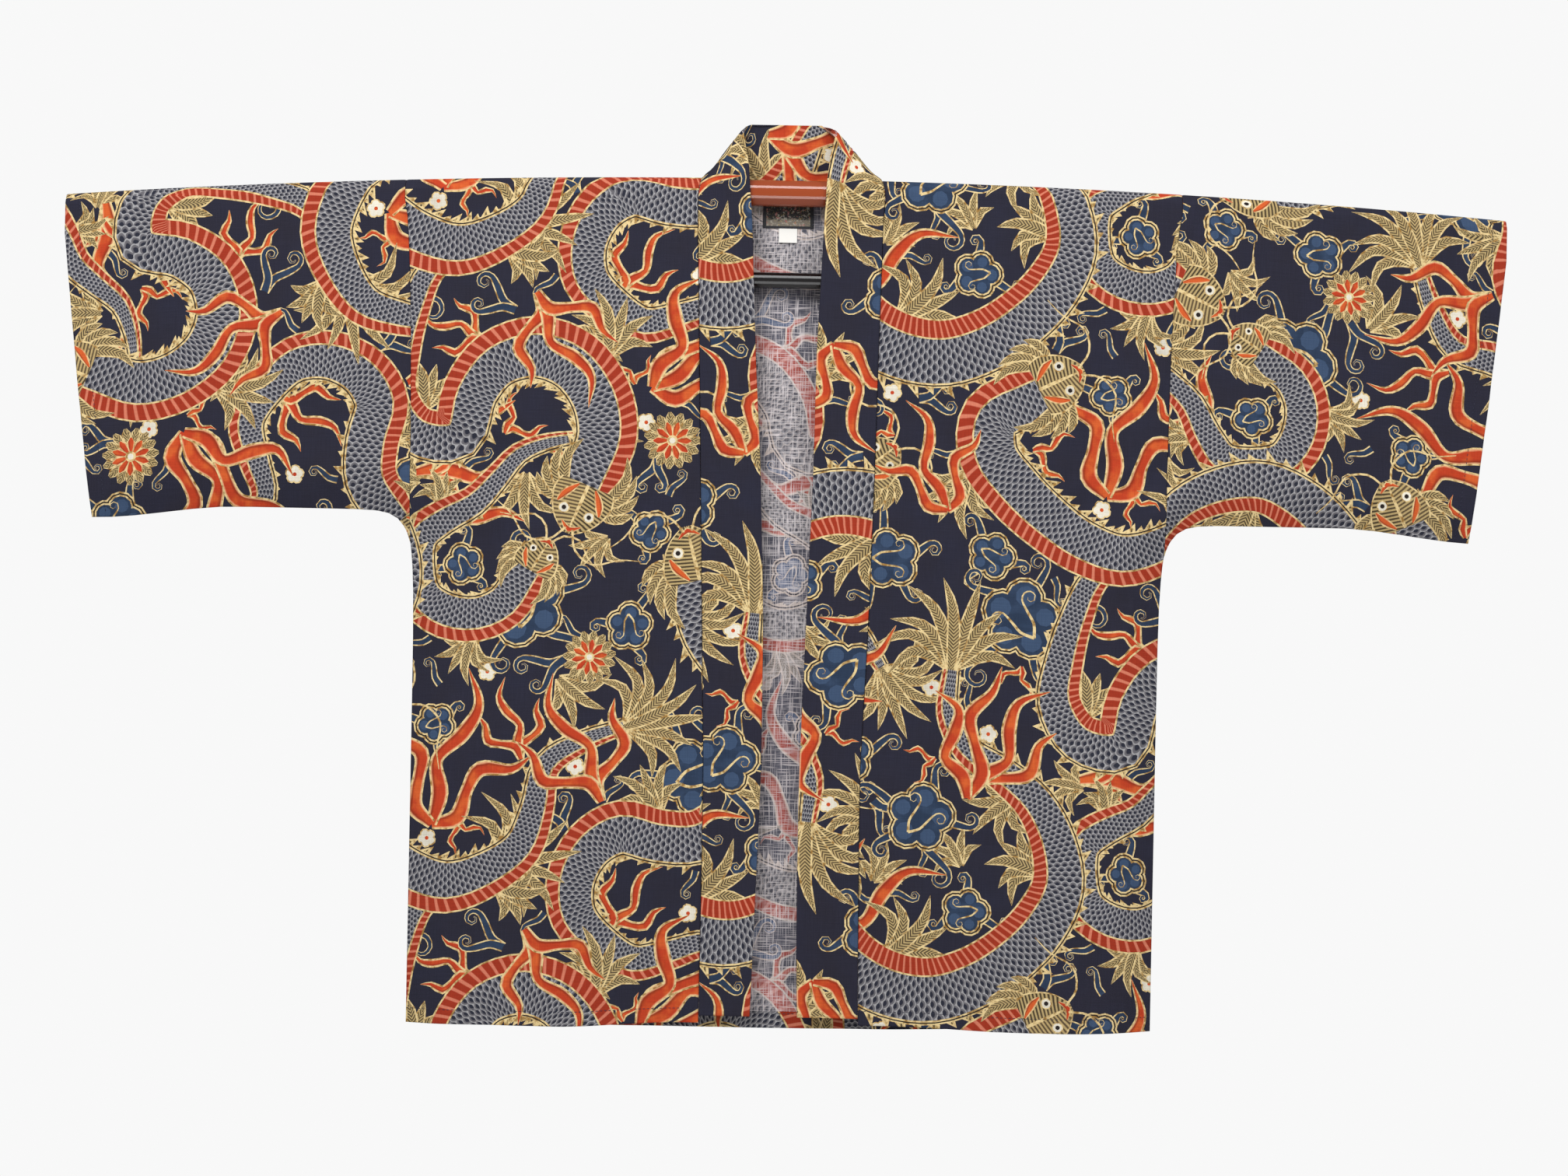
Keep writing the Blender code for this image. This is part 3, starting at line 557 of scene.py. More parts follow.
REPEAT_WIDTH, REPEAT_HEIGHT = 520.0, 600.0
INKS = ("ground", "gold", "scales", "belly", "red", "orange", "cloud", "pale_cloud",
        "plume", "grey_plume", "cream", "dark")
STROKED = ("scales", "belly", "red", "orange", "plume", "grey_plume")  # shaded along a line
GROUND = 0
OUTLINE = 1.6  # width of a gold line
SMALLEST = 0.01  # square millimetres, under which a patch is left out
FULL_OUTLINE = 2.2  # half width from which a motif's outline has its full width
THINNEST_LINE = 0.05
DIRECTION_STEP = 2.0  # millimetres either way over which a curve's direction is taken


class Drawing:
    """The patches of one repeat, and the centre lines that its shaded inks follow."""

    def __init__(self):
        self.corners = []
        self.inks = []
        self.line_of = []
        self.step_of = []
        self.lines = []

    def patch(self, corners, ink, line=-1, step=0):
        """A convex shape, given either way round, and its step along a centre line."""
        corners = np.array(corners, float)
        if signed_area(corners) < 0.0:
            corners = corners[::-1]
        if signed_area(corners) > SMALLEST:
            self.corners.append(corners)
            self.inks.append(INKS.index(ink))
            self.line_of.append(line)
            self.step_of.append(step)

    def quad(self, a, b, c, d, ink, line, step):
        """A quad, or its two triangles where it isn't convex."""
        def turn(p, q, r):
            return (q[0] - p[0]) * (r[1] - q[1]) - (q[1] - p[1]) * (r[0] - q[0])

        turns = [turn(a, b, c), turn(b, c, d), turn(c, d, a), turn(d, a, b)]
        if min(turns) > 1e-4 or max(turns) < -1e-4:
            self.patch((a, b, c, d), ink, line, step)
        else:
            self.patch((a, b, c), ink, line, step)
            self.patch((a, c, d), ink, line, step)

    def band(self, points, edges, inks, step=8.0):
        """Lanes along a curve through (x, y, half width) points. An edge is (share of the half
        width, millimetres more), and lane k lies between edges k and k + 1."""
        line = spline(points, step)
        self.lines.append(line)
        number = len(self.lines) - 1
        taper = np.clip(line[:, 3] / FULL_OUTLINE, 0.02, 1.0)
        normal = normals_of(line)
        rows = []
        for share, more in edges:
            offset = share * line[:, 3] + more * taper
            rows.append(line[:, :2] + normal * offset[:, None])
        for k, ink in enumerate(inks):
            for i in range(len(line) - 1):
                self.quad(rows[k][i], rows[k][i + 1], rows[k + 1][i + 1], rows[k + 1][i],
                          ink, number, i)

    def edged(self, points, ink, step, edge=OUTLINE):
        """A band in one ink with a gold line of the given width along both sides."""
        self.band(points, ((-1, -edge), (-1, 0), (1, 0), (1, edge)), ("gold", ink, "gold"), step)

    def disc(self, x, y, radius, ink, sides, turn=0.0):
        """A regular polygon that stands for a disc."""
        angles = turn + np.arange(sides) * 2.0 * math.pi / sides
        self.patch(np.stack([x + radius * np.cos(angles), y + radius * np.sin(angles)], 1), ink)


def signed_area(polygon):
    """Area of a polygon, negative where it runs clockwise."""
    after = np.roll(polygon, -1, 0)
    return 0.5 * float((polygon[:, 0] * after[:, 1] - polygon[:, 1] * after[:, 0]).sum())


def spline(points, step):
    """Rows of (x, y, distance along, half width) on a smooth curve through the points."""
    given = np.array(points, float)
    rows = []
    for a, b, c, d in curve_spans(given):
        count = max(1, int(math.ceil(math.dist(b[:2], c[:2]) / step)))
        rows += [curve_point(a, b, c, d, t) for t in np.arange(count) / count]
    rows = np.array(rows + [given[-1]])
    return np.column_stack([rows[:, :2], distances(rows[:, :2]), np.maximum(rows[:, 2], THINNEST_LINE)])


def normals_of(line):
    """Unit vectors to the left of a curve."""
    tangent = unit_rows(np.gradient(line[:, :2], axis=0))
    return np.column_stack([-tangent[:, 1], tangent[:, 0]])


def at_share(line, share):
    """Place, direction angle and half width at a share of a curve's length."""
    def at(distance):
        return [np.interp(distance, line[:, 2], line[:, k]) for k in (0, 1, 3)]

    middle = share * line[-1, 2]
    x, y, half = at(middle)
    ahead, behind = at(middle + DIRECTION_STEP), at(middle - DIRECTION_STEP)
    return x, y, math.atan2(ahead[1] - behind[1], ahead[0] - behind[0]), half


def polar(x, y, angle, reach, aside=0.0):
    """The place reach ahead of (x, y) and aside to its left."""
    return (x + reach * math.cos(angle) - aside * math.sin(angle),
            y + reach * math.sin(angle) + aside * math.cos(angle))


# Half width of a plume at shares of its length
PLUME_WIDTHS = ((0.0, 0.5), (0.3, 1.0), (0.68, 0.7), (1.0, 0.02))


def draw_plume(art, x, y, angle, length, half, bend, ink="plume"):
    """A flame-shaped plume from its root, curving by bend radians."""
    points = []
    for share, width in PLUME_WIDTHS:
        points.append(polar(x, y, angle + bend * share * share, length * share) + (half * width,))
    art.edged(points, ink, 12.0)


def draw_fan(art, x, y, angle, spread, count, length, half, ink="plume"):
    """Plumes from one root, the middle one longest and drawn last."""
    order = sorted(range(count), key=lambda k: -abs(k - (count - 1) / 2.0))
    for k in order:
        side = 2.0 * k / (count - 1) - 1.0
        reach = length * (1.0 - 0.30 * abs(side) + 0.10 * (k % 2))
        draw_plume(art, x, y, angle + spread * side, reach, half, 0.75 * side + 0.2, ink)


def draw_spines(art, line, side, height, spacing=11.5):
    """A row of pointed spines along one side of a body, leaning to its tail."""
    count = int(line[-1, 2] / spacing)
    for k in range(count - 1, 1, -1):
        x, y, angle, half = at_share(line, k / count)
        x, y = polar(x, y, angle, 0.0, side * (half - 1.0))
        tall = height * (0.45 + 0.55 * half / line[:, 3].max()) * (1.0 if k % 2 else 0.72)
        for base, reach, ink in ((0.66, 1.0, "gold"), (0.34, 0.66, "grey_plume")):
            tip = polar(x, y, angle, tall * 0.75 * reach, side * tall * reach)
            roots = [polar(x, y, angle, spacing * base * hand) for hand in (-1.0, 1.0)]
            art.patch(roots + [tip], ink)


# A carp's half width at shares of its length
BODY_WIDTHS = ((0.0, 0.80), (0.10, 0.96), (0.30, 1.0), (0.55, 0.84), (0.80, 0.50), (1.0, 0.20))
BELLY_START = 0.40  # share of the half width where the belly begins
# Its head in half widths of the body: how far ahead, how far aside where it matters, half width
HEAD = ((-0.62, 0.90), (-0.2, 1.02), (0.35, 0.86), (0.8, 0.55), (1.12, 0.12))
GILL = ((-0.55, 0.30, 0.03), (-0.30, 0.50, 0.09), (-0.05, 0.66, 0.10), (0.22, 0.76, 0.03))
# Ahead and aside in half widths of the body, and half width in millimetres
MOUTH = ((0.78, -0.34, 0.5), (0.98, 0.0, 2.2), (0.78, 0.34, 0.5))
WHISKER = ((0.95, 0.12, 1.0), (1.55, 0.50, 1.0), (1.75, 1.25, 0.9), (1.25, 2.0, 0.7), (1.0, 2.7, 0.3))
EYE_PLACE = (0.36, 0.46)
EYE_RINGS = ((0.20, "gold"), (0.16, "cream"), (0.08, "dark"))


def draw_carp(art, spine, width, belly):
    """A long carp with a scaled back, spines and a ribbed belly. With its mane and whiskers it
    looks like a dragon. Belly is +1 or -1."""
    bare = spline([(x, y, 1.0) for x, y in spine], 8.0)
    points = []
    last = len(spine) * 2 - 1
    for k in range(last + 1):
        x, y, _, _ = at_share(bare, k / last)
        points.append((x, y, width * np.interp(k / last, *zip(*BODY_WIDTHS))))
    whole = spline(points, 9.0)

    x, y, angle, _ = at_share(whole, 1.0)
    draw_fan(art, x, y, angle, 0.85, 9, width * 2.9, width * 0.17)
    draw_spines(art, whole, -belly, width * 0.52)
    for place, length in ((0.62, 1.7), (0.24, 2.3)):
        x, y, angle, half = at_share(whole, place)
        x, y = polar(x, y, angle, 0.0, belly * half * 0.75)
        draw_fan(art, x, y, angle + belly * 0.95, 0.5, 6, width * length, width * 0.17, "grey_plume")

    edges = [(-1, -OUTLINE - 2.6), (-1, -OUTLINE - 1.2), (-1, -OUTLINE), (-1, 0), (BELLY_START, 0),
             (BELLY_START, OUTLINE), (1, 0), (1, OUTLINE)]
    inks = ["gold", "dark", "gold", "scales", "gold", "belly", "gold"]
    if belly < 0:
        edges = [(-share, -more) for share, more in edges][::-1]
        inks = inks[::-1]
    art.band(points, edges, inks, 10.5)
    x, y, angle, _ = at_share(whole, 0.45 * width / whole[-1, 2])
    draw_head(art, x, y, angle, width)


def draw_head(art, x, y, angle, width):
    """A mane of plumes, and the carp's head over it. Angle points down the body."""
    for side in (-1.0, 1.0):
        for k in (3, 2, 1, 0):
            root = polar(x, y, angle, width * (0.30 - 0.12 * k), side * width * 0.72)
            draw_plume(art, *root, angle + side * (0.55 + 0.38 * k), width * (1.7 - 0.18 * k),
                       width * 0.16, -side * 0.5)

    def on_head(ahead, aside):
        return polar(x, y, angle + math.pi, width * ahead, width * aside)

    head = [on_head(ahead, 0.0) + (width * half,) for ahead, half in HEAD]
    art.band(head, ((-1, -OUTLINE), (-1, 0), (-0.06, 0), (0.06, 0), (1, 0), (1, OUTLINE)),
             ("gold", "plume", "gold", "plume", "gold"), 6.0)
    for side in (-1.0, 1.0):
        gill = [on_head(ahead, side * aside) + (width * half,) for ahead, aside, half in GILL]
        art.edged(gill, "orange", 8.0, OUTLINE * 0.7)
    art.edged([on_head(ahead, aside) + (half,) for ahead, aside, half in MOUTH], "red", 6.0, 0.9)
    for side in (1.0, -1.0):
        eye = on_head(EYE_PLACE[0], side * EYE_PLACE[1])
        for radius, ink in EYE_RINGS:
            art.disc(*eye, width * radius, ink, 10)
    for side in (-1.0, 1.0):
        whisker = [on_head(ahead, side * aside) + (half,) for ahead, aside, half in WHISKER]
        art.band(whisker, ((-1, 0), (1, 0)), ("gold",), 9.0)


# Half width of a streamer at shares of its length
FLAME_WIDTHS = ((0.0, 0.5), (0.2, 1.0), (0.4, 0.66), (0.6, 0.88), (0.8, 0.5), (1.0, 0.03))


def draw_flame(art, x, y, angle, size, tails, hand=1.0):
    """Red streamers that wave out from one root."""
    for k in range(tails):
        side = 2.0 * k / (tails - 1) - 1.0
        length = size * (1.0 - 0.25 * abs(side))
        points = []
        for share, width in FLAME_WIDTHS:
            wave = hand * size * 0.085 * math.sin(8.6 * share + 1.5 * k) * min(1.0, 4.0 * share)
            points.append(polar(x, y, angle + side * 0.62, length * share, wave)
                          + (size * 0.046 * width,))
        art.edged(points, "red", 6.5)


def draw_scroll(art, x, y, angle, length, hand, half=3.4, ink="cloud"):
    """A tendril that waves and winds up at its end, with gold edges."""
    points = []
    for share in (0.0, 0.33, 0.66):
        wave = hand * length * 0.10 * math.sin(4.2 * share)
        points.append(polar(x, y, angle, length * share, wave) + (half * (1.0 - 0.35 * share),))
    radius = length * 0.20
    middle = polar(x, y, angle, length * 0.95, hand * radius)
    for k in range(8):
        reach = radius * (1.0 - 0.105 * k)
        turn = angle - hand * math.pi / 2.0 + hand * k * 0.98
        points.append(polar(*middle, turn, reach) + (half * (0.55 - 0.065 * k),))
    art.edged(points, ink, 5.0, 1.25)


def draw_cloud(art, x, y, size, turn, arms=5):
    """A lobed cloud, double edged in gold, with tendrils that wind out of it."""
    for k in range(arms):
        angle = turn + 2.0 * math.pi * k / arms + 0.35 * math.sin(3.0 * k)
        root = polar(x, y, angle, size * 0.35)
        draw_scroll(art, *root, angle + 0.5, size * (1.15 + 0.3 * (k % 2)), 1.0 if k % 3 else -1.0, 3.6)
    lobes = [polar(x, y, turn + 0.5 + 1.26 * k, size * 0.50) + (size * (0.40 - 0.05 * (k % 2)),)
             for k in range(5)]
    for more, ink in ((4.6, "gold"), (3.0, "dark"), (1.6, "gold"), (0.0, "cloud")):
        for k, (cx, cy, radius) in enumerate(lobes):
            art.disc(cx, cy, radius + more, ink, 12, 0.2 * k)
        art.disc(x, y, size * 0.45, ink, 12)
    for k, (cx, cy, radius) in enumerate(lobes):
        art.disc(*polar(cx, cy, turn + 1.26 * k, radius * 0.18), radius * 0.62, "pale_cloud", 9)
    root = polar(x, y, turn, -size * 0.52)
    for hand in (1.0, -1.0):
        draw_scroll(art, *root, turn + hand * 0.30, size * 0.98, hand, size * 0.024, "gold")


# Rings of a bloom: petals, inner and outer end and half width in radii, ink
PETAL_RINGS = ((15, 0.42, 1.0, 0.135, "plume"), (10, 0.12, 0.66, 0.13, "red"))


def draw_bloom(art, x, y, radius, turn):
    """A chrysanthemum of two rings of petals."""
    art.disc(x, y, radius * 0.85, "dark", 14)
    for count, inner, outer, half, ink in PETAL_RINGS:
        widths = ((inner, 0.35), (inner * 0.3 + outer * 0.7, 0.9), (outer, 0.25))
        for k in range(count):
            angle = turn + k * 2.0 * math.pi / count
            petal = [polar(x, y, angle, radius * r) + (radius * half * w,) for r, w in widths]
            art.edged(petal, ink, radius * 0.3, 1.1)
    art.disc(x, y, radius * 0.19, "gold", 10)
    art.disc(x, y, radius * 0.11, "cream", 8)


def draw_blossom(art, x, y, radius, turn):
    """A small pale blossom of five petals."""
    for more, ink in ((1.4, "gold"), (0.0, "cream")):
        for k in range(5):
            angle = turn + k * 2.0 * math.pi / 5.0
            art.disc(*polar(x, y, angle, radius * 0.55), radius * 0.45 + more, ink, 8, angle)
    art.disc(x, y, radius * 0.24, "red", 7)


# The large motifs of one repeat. Clouds: x, y, size, turn
CLOUDS = ((70, 84, 40, 0.3), (424, 246, 42, 1.4), (262, 520, 40, 2.2), (170, 330, 34, 0.9))
# Streamers behind the carp and before it: x, y, angle, size, tails, hand
FLAMES_BEHIND = ((60, 212, 0.5, 150, 3, 1.0), (340, 40, 1.3, 150, 3, -1.0), (320, 372, 0.1, 150, 3, 1.0))
FLAMES_BEFORE = ((214, 350, 1.2, 140, 4, 1.0), (20, 450, 0.6, 150, 4, -1.0), (500, 60, 2.0, 130, 3, 1.0),
                 (190, 20, 1.9, 110, 3, -1.0), (430, 540, 5.2, 120, 3, 1.0))
# Carp: route from head to tail, half width, side of the belly
CARP = (
    (((440, 296), (396, 236), (330, 246), (322, 312), (376, 346), (420, 392), (474, 404)), 20.0, 1),
    (((130, 70), (64, 26), (-16, 34), (-50, -36), (10, -92), (84, -76), (130, -130)), 24.0, -1),
    (((60, 300), (92, 208), (168, 168), (246, 196), (300, 268), (276, 348), (200, 408), (196, 470)),
     30.0, 1),
    (((470, 330), (500, 420), (452, 486), (380, 470), (352, 404), (300, 440), (330, 560), (400, 600)),
     28.0, -1),
    (((300, 150), (222, 100), (262, 30), (350, -20), (430, 20), (450, 96), (520, 130)), 27.0, -1),
)
BLOOMS = ((40, 400, 27, 0.0), (486, 196, 25, 0.15))  # x, y, radius, turn


def draw_main(art):
    """The large motifs, from the ones behind to the ones in front."""
    for draw, motifs in ((draw_cloud, CLOUDS), (draw_flame, FLAMES_BEHIND), (draw_carp, CARP),
                         (draw_flame, FLAMES_BEFORE), (draw_bloom, BLOOMS)):
        for motif in motifs:
            draw(art, *motif)


MOST_PLACES = 90  # gaps looked for at most


def free_places(art, step=6.0, least=2):
    """Gaps of a drawing, the widest first: place and rough radius."""
    columns, rows = int(REPEAT_WIDTH / step), int(REPEAT_HEIGHT / step)
    grid = np.array([((i + 0.5) * REPEAT_WIDTH / columns, (j + 0.5) * REPEAT_HEIGHT / rows)
                     for i in range(columns) for j in range(rows)])
    repeats = Repeats(art, np.zeros(2), np.array((REPEAT_WIDTH, REPEAT_HEIGHT)))
    free = (repeats.top_at(range(len(repeats.corners)), grid) < 0).reshape(columns, rows)
    found = []
    for _ in range(MOST_PLACES):
        level = free.astype(int)
        left = free.copy()
        while left.any():
            grown = left.copy()
            for axis in (0, 1):
                grown &= np.roll(left, 1, axis) & np.roll(left, -1, axis)
            left = grown
            level += left
        best = int(level.argmax())
        size = int(level.max())
        if size < least:
            break
        x, y = grid[best]
        found.append((x, y, size * step))
        across = np.abs(grid - (x, y))
        across = np.minimum(across, np.array((REPEAT_WIDTH, REPEAT_HEIGHT)) - across)
        free &= (np.hypot(*across.T) > size * step * 1.15 + step).reshape(columns, rows)
    return found


# Rooms, in millimetres, from which a gap takes a cloud, a streamer or a smaller cloud, and a
# spray or scrolls
WIDE_ROOM, MIDDLE_ROOM, SMALL_ROOM = 40.0, 26.0, 15.0


def draw_repeat():
    """The large motifs, and behind them small ones in the gaps between them."""
    large = Drawing()
    draw_main(large)
    art = Drawing()
    for k, (x, y, room) in enumerate(free_places(large)):
        turn = 2.4 * k
        root = polar(x, y, turn, -room)
        if room > WIDE_ROOM:
            draw_cloud(art, x, y, room * 0.62, turn)
        elif room > MIDDLE_ROOM:
            if k % 3 == 0:
                draw_flame(art, *root, turn, room * 2.2, 3)
            else:
                draw_cloud(art, x, y, room * 0.62, turn, 3)
        elif room > SMALL_ROOM:
            if k % 3 == 0:
                draw_fan(art, *root, turn, 0.6, 5, room * 2.2, room * 0.17)
            elif k % 3 == 1:
                draw_flame(art, *root, turn, room * 2.3, 2)
            else:
                draw_scroll(art, *root, turn, room * 1.7, 1.0)
                draw_scroll(art, *root, turn + 1.0, room * 1.5, -1.0)
        elif k % 5 == 0:
            draw_blossom(art, x, y, 8.0, turn)
        elif k % 2:
            draw_scroll(art, *root, turn, room * 2.0, 1.0, 2.4)
    draw_main(art)
    return art


MANY_LINES = 10000  # more than the drawing has


class Repeats:
    """Copies of the drawing over a rectangle of print, in millimetres."""

    def __init__(self, art, low, high):
        self.art = art
        self.corners, self.source, self.shift = [], [], []
        spans = [range(int(math.floor(low[k] / size)) - 1, int(math.ceil(high[k] / size)) + 1)
                 for k, size in ((0, REPEAT_WIDTH), (1, REPEAT_HEIGHT))]
        shifts = [(i * REPEAT_WIDTH, j * REPEAT_HEIGHT) for i in spans[0] for j in spans[1]]
        for index, corners in enumerate(art.corners):
            for shift in shifts:
                moved = corners + shift
                if (moved.max(0) > low).all() and (moved.min(0) < high).all():
                    self.corners.append(moved)
                    self.source.append(index)
                    self.shift.append(shift)
        self.low = np.array([c.min(0) for c in self.corners])
        self.high = np.array([c.max(0) for c in self.corners])

    def in_box(self, low, high):
        """The patches that reach into a box."""
        return np.nonzero((self.high > low).all(1) & (self.low < high).all(1))[0]

    def drawn(self, tops):
        """The drawing's own number of each uppermost patch, 0 where there is none."""
        return np.array(self.source + [0])[tops]

    def top_at(self, chosen, places):
        """The uppermost of the chosen patches at each place, or -1."""
        top = np.full(len(places), -1)
        for index in chosen:
            corners = self.corners[index]
            near = np.nonzero(((places > self.low[index]) & (places < self.high[index])).all(1))[0]
            if len(near):
                here = places[near]
                within = np.ones(len(near), bool)
                for (px, py), (dx, dy) in zip(corners, np.roll(corners, -1, 0) - corners):
                    within &= dx * (here[:, 1] - py) - dy * (here[:, 0] - px) > 0.0
                top[near[within]] = index
        return top

    def key(self, tops):
        """A number for the ink of each patch, and for its line where the ink follows it."""
        inks, lines = np.array(self.art.inks), np.array(self.art.line_of)
        follows = np.array([ink in STROKED for ink in INKS])[inks]
        found = inks * MANY_LINES + np.where(follows, lines + 2, 0)
        return np.where(tops < 0, 0, found[self.drawn(tops)])


ART = draw_repeat()

BLOCK = 42.0  # the print is cut in square blocks of this size
LATTICE = 14.0  # and has a mesh point at least this often
TOUCH = 1e-3  # a point this near a block's side lies on it
STRAIGHT = 0.06  # a corner that departs less from a straight line is left out
MERGE = 1e-4


def triangles_of(points, edges, low, high):
    """Places, triangles and their middles in a block whose mesh keeps some points and edges."""
    found = delaunay_2d_cdt([Vector(tuple(p)) for p in points], edges, [], 0, MERGE, False)
    places = np.array([tuple(v) for v in found[0]])
    faces = np.array([f for f in found[2] if len(f) == 3])
    middle = places[faces].mean(1)
    inside = ((middle > low) & (middle < high)).all(1)
    return places, faces[inside], middle[inside]


def sides_of(faces):
    """The three sides of every triangle, and the triangle that each belongs to."""
    sides = np.concatenate([faces[:, (0, 1)], faces[:, (1, 2)], faces[:, (2, 0)]])
    return sides, np.tile(np.arange(len(faces)), 3)


def ink_edges(repeats, low, high, chosen):
    """The lines between two inks inside a block, with straight runs made into one."""
    points = [low, (high[0], low[1]), high, (low[0], high[1])]
    edges = [(0, 1), (1, 2), (2, 3), (3, 0)]
    for index in chosen:
        start, count = len(points), len(repeats.corners[index])
        points.extend(repeats.corners[index])
        edges.extend((start + k, start + (k + 1) % count) for k in range(count))
    places, faces, middle = triangles_of(points, edges, low, high)
    keys = repeats.key(repeats.top_at(chosen, middle))
    sides, owner = sides_of(faces)
    sides = np.sort(sides, 1)
    order = np.lexsort((sides[:, 1], sides[:, 0]))
    sides, owner = sides[order], owner[order]
    pairs = np.nonzero((sides[1:] == sides[:-1]).all(1))[0]
    parted = pairs[keys[owner[pairs]] != keys[owner[pairs + 1]]]
    next_to = {}
    for a, b in sides[parted].tolist():
        next_to.setdefault(a, set()).add(b)
        next_to.setdefault(b, set()).add(a)
    at_border = (np.abs(places - low) < TOUCH).any(1) | (np.abs(places - high) < TOUCH).any(1)
    for v in list(next_to):
        near = next_to[v]
        if len(near) == 2 and not at_border[v]:
            a, b = near
            p, q = places[a] - places[v], places[b] - places[v]
            bend = abs(p[0] * q[1] - p[1] * q[0]) / max(math.dist(p, q), 1e-9)
            if bend < STRAIGHT and p @ q < 0.0 and b not in next_to[a]:
                next_to[a].remove(v)
                next_to[b].remove(v)
                next_to[a].add(b)
                next_to[b].add(a)
                del next_to[v]
    return places, next_to, at_border


def cut_block(repeats, low, high, seams, lattice):
    """Triangles of one block of print: their places, corners and uppermost patch or -1."""
    chosen = repeats.in_box(low, high)
    places, next_to, at_border = ink_edges(repeats, low, high, chosen)
    number = {v: k for k, v in enumerate(next_to)}
    points = [tuple(places[v]) for v in next_to]
    edges = [(number[a], number[b]) for a in next_to for b in next_to[a] if a < b]
    border = [(x, y) for x in (low[0], high[0]) for y in (low[1], high[1])]
    border += [tuple(places[v]) for v in next_to if at_border[v]]
    for p in lattice:
        if min(abs(p - low)) < TOUCH or min(abs(p - high)) < TOUCH:
            border.append(tuple(p))
        else:
            points.append(tuple(p))
    for axis in (0, 1):
        for level in (low[axis], high[axis]):
            on_side = [p for p in border if abs(p[axis] - level) < TOUCH]
            run = sorted(on_side, key=lambda p: p[1 - axis])
            start = len(points)
            points.extend(run)
            edges.extend((start + k, start + k + 1) for k in range(len(run) - 1))
    for a, b in seams:
        if (np.maximum(a, b) >= low).all() and (np.minimum(a, b) <= high).all():
            edges.append((len(points), len(points) + 1))
            points.extend((tuple(a), tuple(b)))
    places, faces, middle = triangles_of(points, edges, low, high)
    return places, faces, repeats.top_at(chosen, middle)


# ---- shells

def linked(name, data):
    """A new object in the scene."""
    made = bpy.data.objects.new(name, data)
    bpy.context.scene.collection.objects.link(made)
    return made


def mesh_from(bm, name):
    """A mesh of what the bmesh holds, which is then freed."""
    mesh = bpy.data.meshes.new(name)
    bm.to_mesh(mesh)
    bm.free()
    return mesh


def within(polygon, places):
    """Which places lie in a polygon."""
    inside = np.zeros(len(places), bool)
    x, y = places[:, 0], places[:, 1]
    for (ax, ay), (bx, by) in zip(polygon, np.roll(polygon, -1, 0)):
        if ay != by:
            crosses = ((ay > y) != (by > y)) & (x < ax + (bx - ax) * (y - ay) / (by - ay))
            inside ^= crosses
    return inside


def nearest(places, starts, ends):
    """Distance from each place to the nearest of some segments, and that segment's number."""
    best = np.full(len(places), 1e9)
    which = np.zeros(len(places), int)
    for k, (a, b) in enumerate(zip(starts, ends)):
        step = b - a
        share = np.clip((places - a) @ step / max(step @ step, 1e-12), 0.0, 1.0)
        distance = np.hypot(*(places - a - share[:, None] * step).T)
        closer = distance < best
        best[closer] = distance[closer]
        which[closer] = k
    return best, which


SHORTEST = 0.01  # a shorter side of a cut has no line


def inset_lines(cut, kinds, wanted, distance):
    """The sides of one kind moved into the cut."""
    turn = 1.0 if signed_area(cut) > 0.0 else -1.0
    lines = []
    for a, b, kind in zip(cut, np.roll(cut, -1, 0), kinds):
        size = math.dist(a, b)
        if kind in wanted and size > SHORTEST:
            inward = np.array((a[1] - b[1], b[0] - a[0])) / size * turn * distance
            lines.append((a + inward, b + inward))
    return lines


SEAM_DIP = 0.00038  # a seam's or fold's edge lies this much lower than the cloth
DIP_WIDTH = 1.8  # millimetres
HEM_STEP = 0.5  # millimetres over which the turned-up cloth begins
BEND_LEAST, BEND_MOST = 0.00006, 0.003  # between these bends the lattice gets finer
FINEST, COLLAR_FINEST = 7.0, 3.5  # millimetres between its finest points
PRINT_MARGIN = 5.0  # print kept round a piece
# Share of a side between samples of it, and how near a block they are for it to be cut
SAMPLE_STEP, NEAR = 0.01, 1.0

# How each piece lies on the printed cloth: the print's x and y from its own, and a shift
LAYOUTS = {
    "back": (((-1, 0), (0, -1)), (370.0, 40.0)),
    "front_left": (((1, 0), (0, -1)), (40.0, 310.0)),
    "front_right": (((1, 0), (0, -1)), (150.0, 30.0)),
    "sleeve_left": (((0, 1), (-1, 0)), (60.0, 120.0)),
    "sleeve_right": (((0, -1), (1, 0)), (300.0, 420.0)),
    "collar": (((0, 1), (1, 0)), (205.0, 90.0)),
}


def fine_places(cut_low, cut_high, place, to_flat, finest):
    """Points of ever finer lattices where the cloth bends sharply, kept on the blocks' grid."""
    kept, step = [], LATTICE
    while step >= finest:
        xs = np.arange(math.floor(cut_low[0] / step), math.ceil(cut_high[0] / step) + 1) * step
        ys = np.arange(math.floor(cut_low[1] / step), math.ceil(cut_high[1] / step) + 1) * step
        grid = np.array([(x, y) for x in xs for y in ys])
        coarser = (np.abs(grid / (2.0 * step) - np.round(grid / (2.0 * step))) < 1e-6).all(1)
        here = place(to_flat(grid), 0.0)
        bent = np.zeros(len(grid))
        for turn in ((step, 0.0), (0.0, step)):
            middle = (place(to_flat(grid + turn), 0.0) + place(to_flat(grid - turn), 0.0)) / 2.0
            bent = np.maximum(bent, np.linalg.norm(middle - here, axis=1))
        finer = ~coarser & (bent > BEND_LEAST) & (bent < BEND_MOST)
        kept.append(grid if step == LATTICE else grid[finer])
        step /= 2.0
    return np.concatenate(kept)


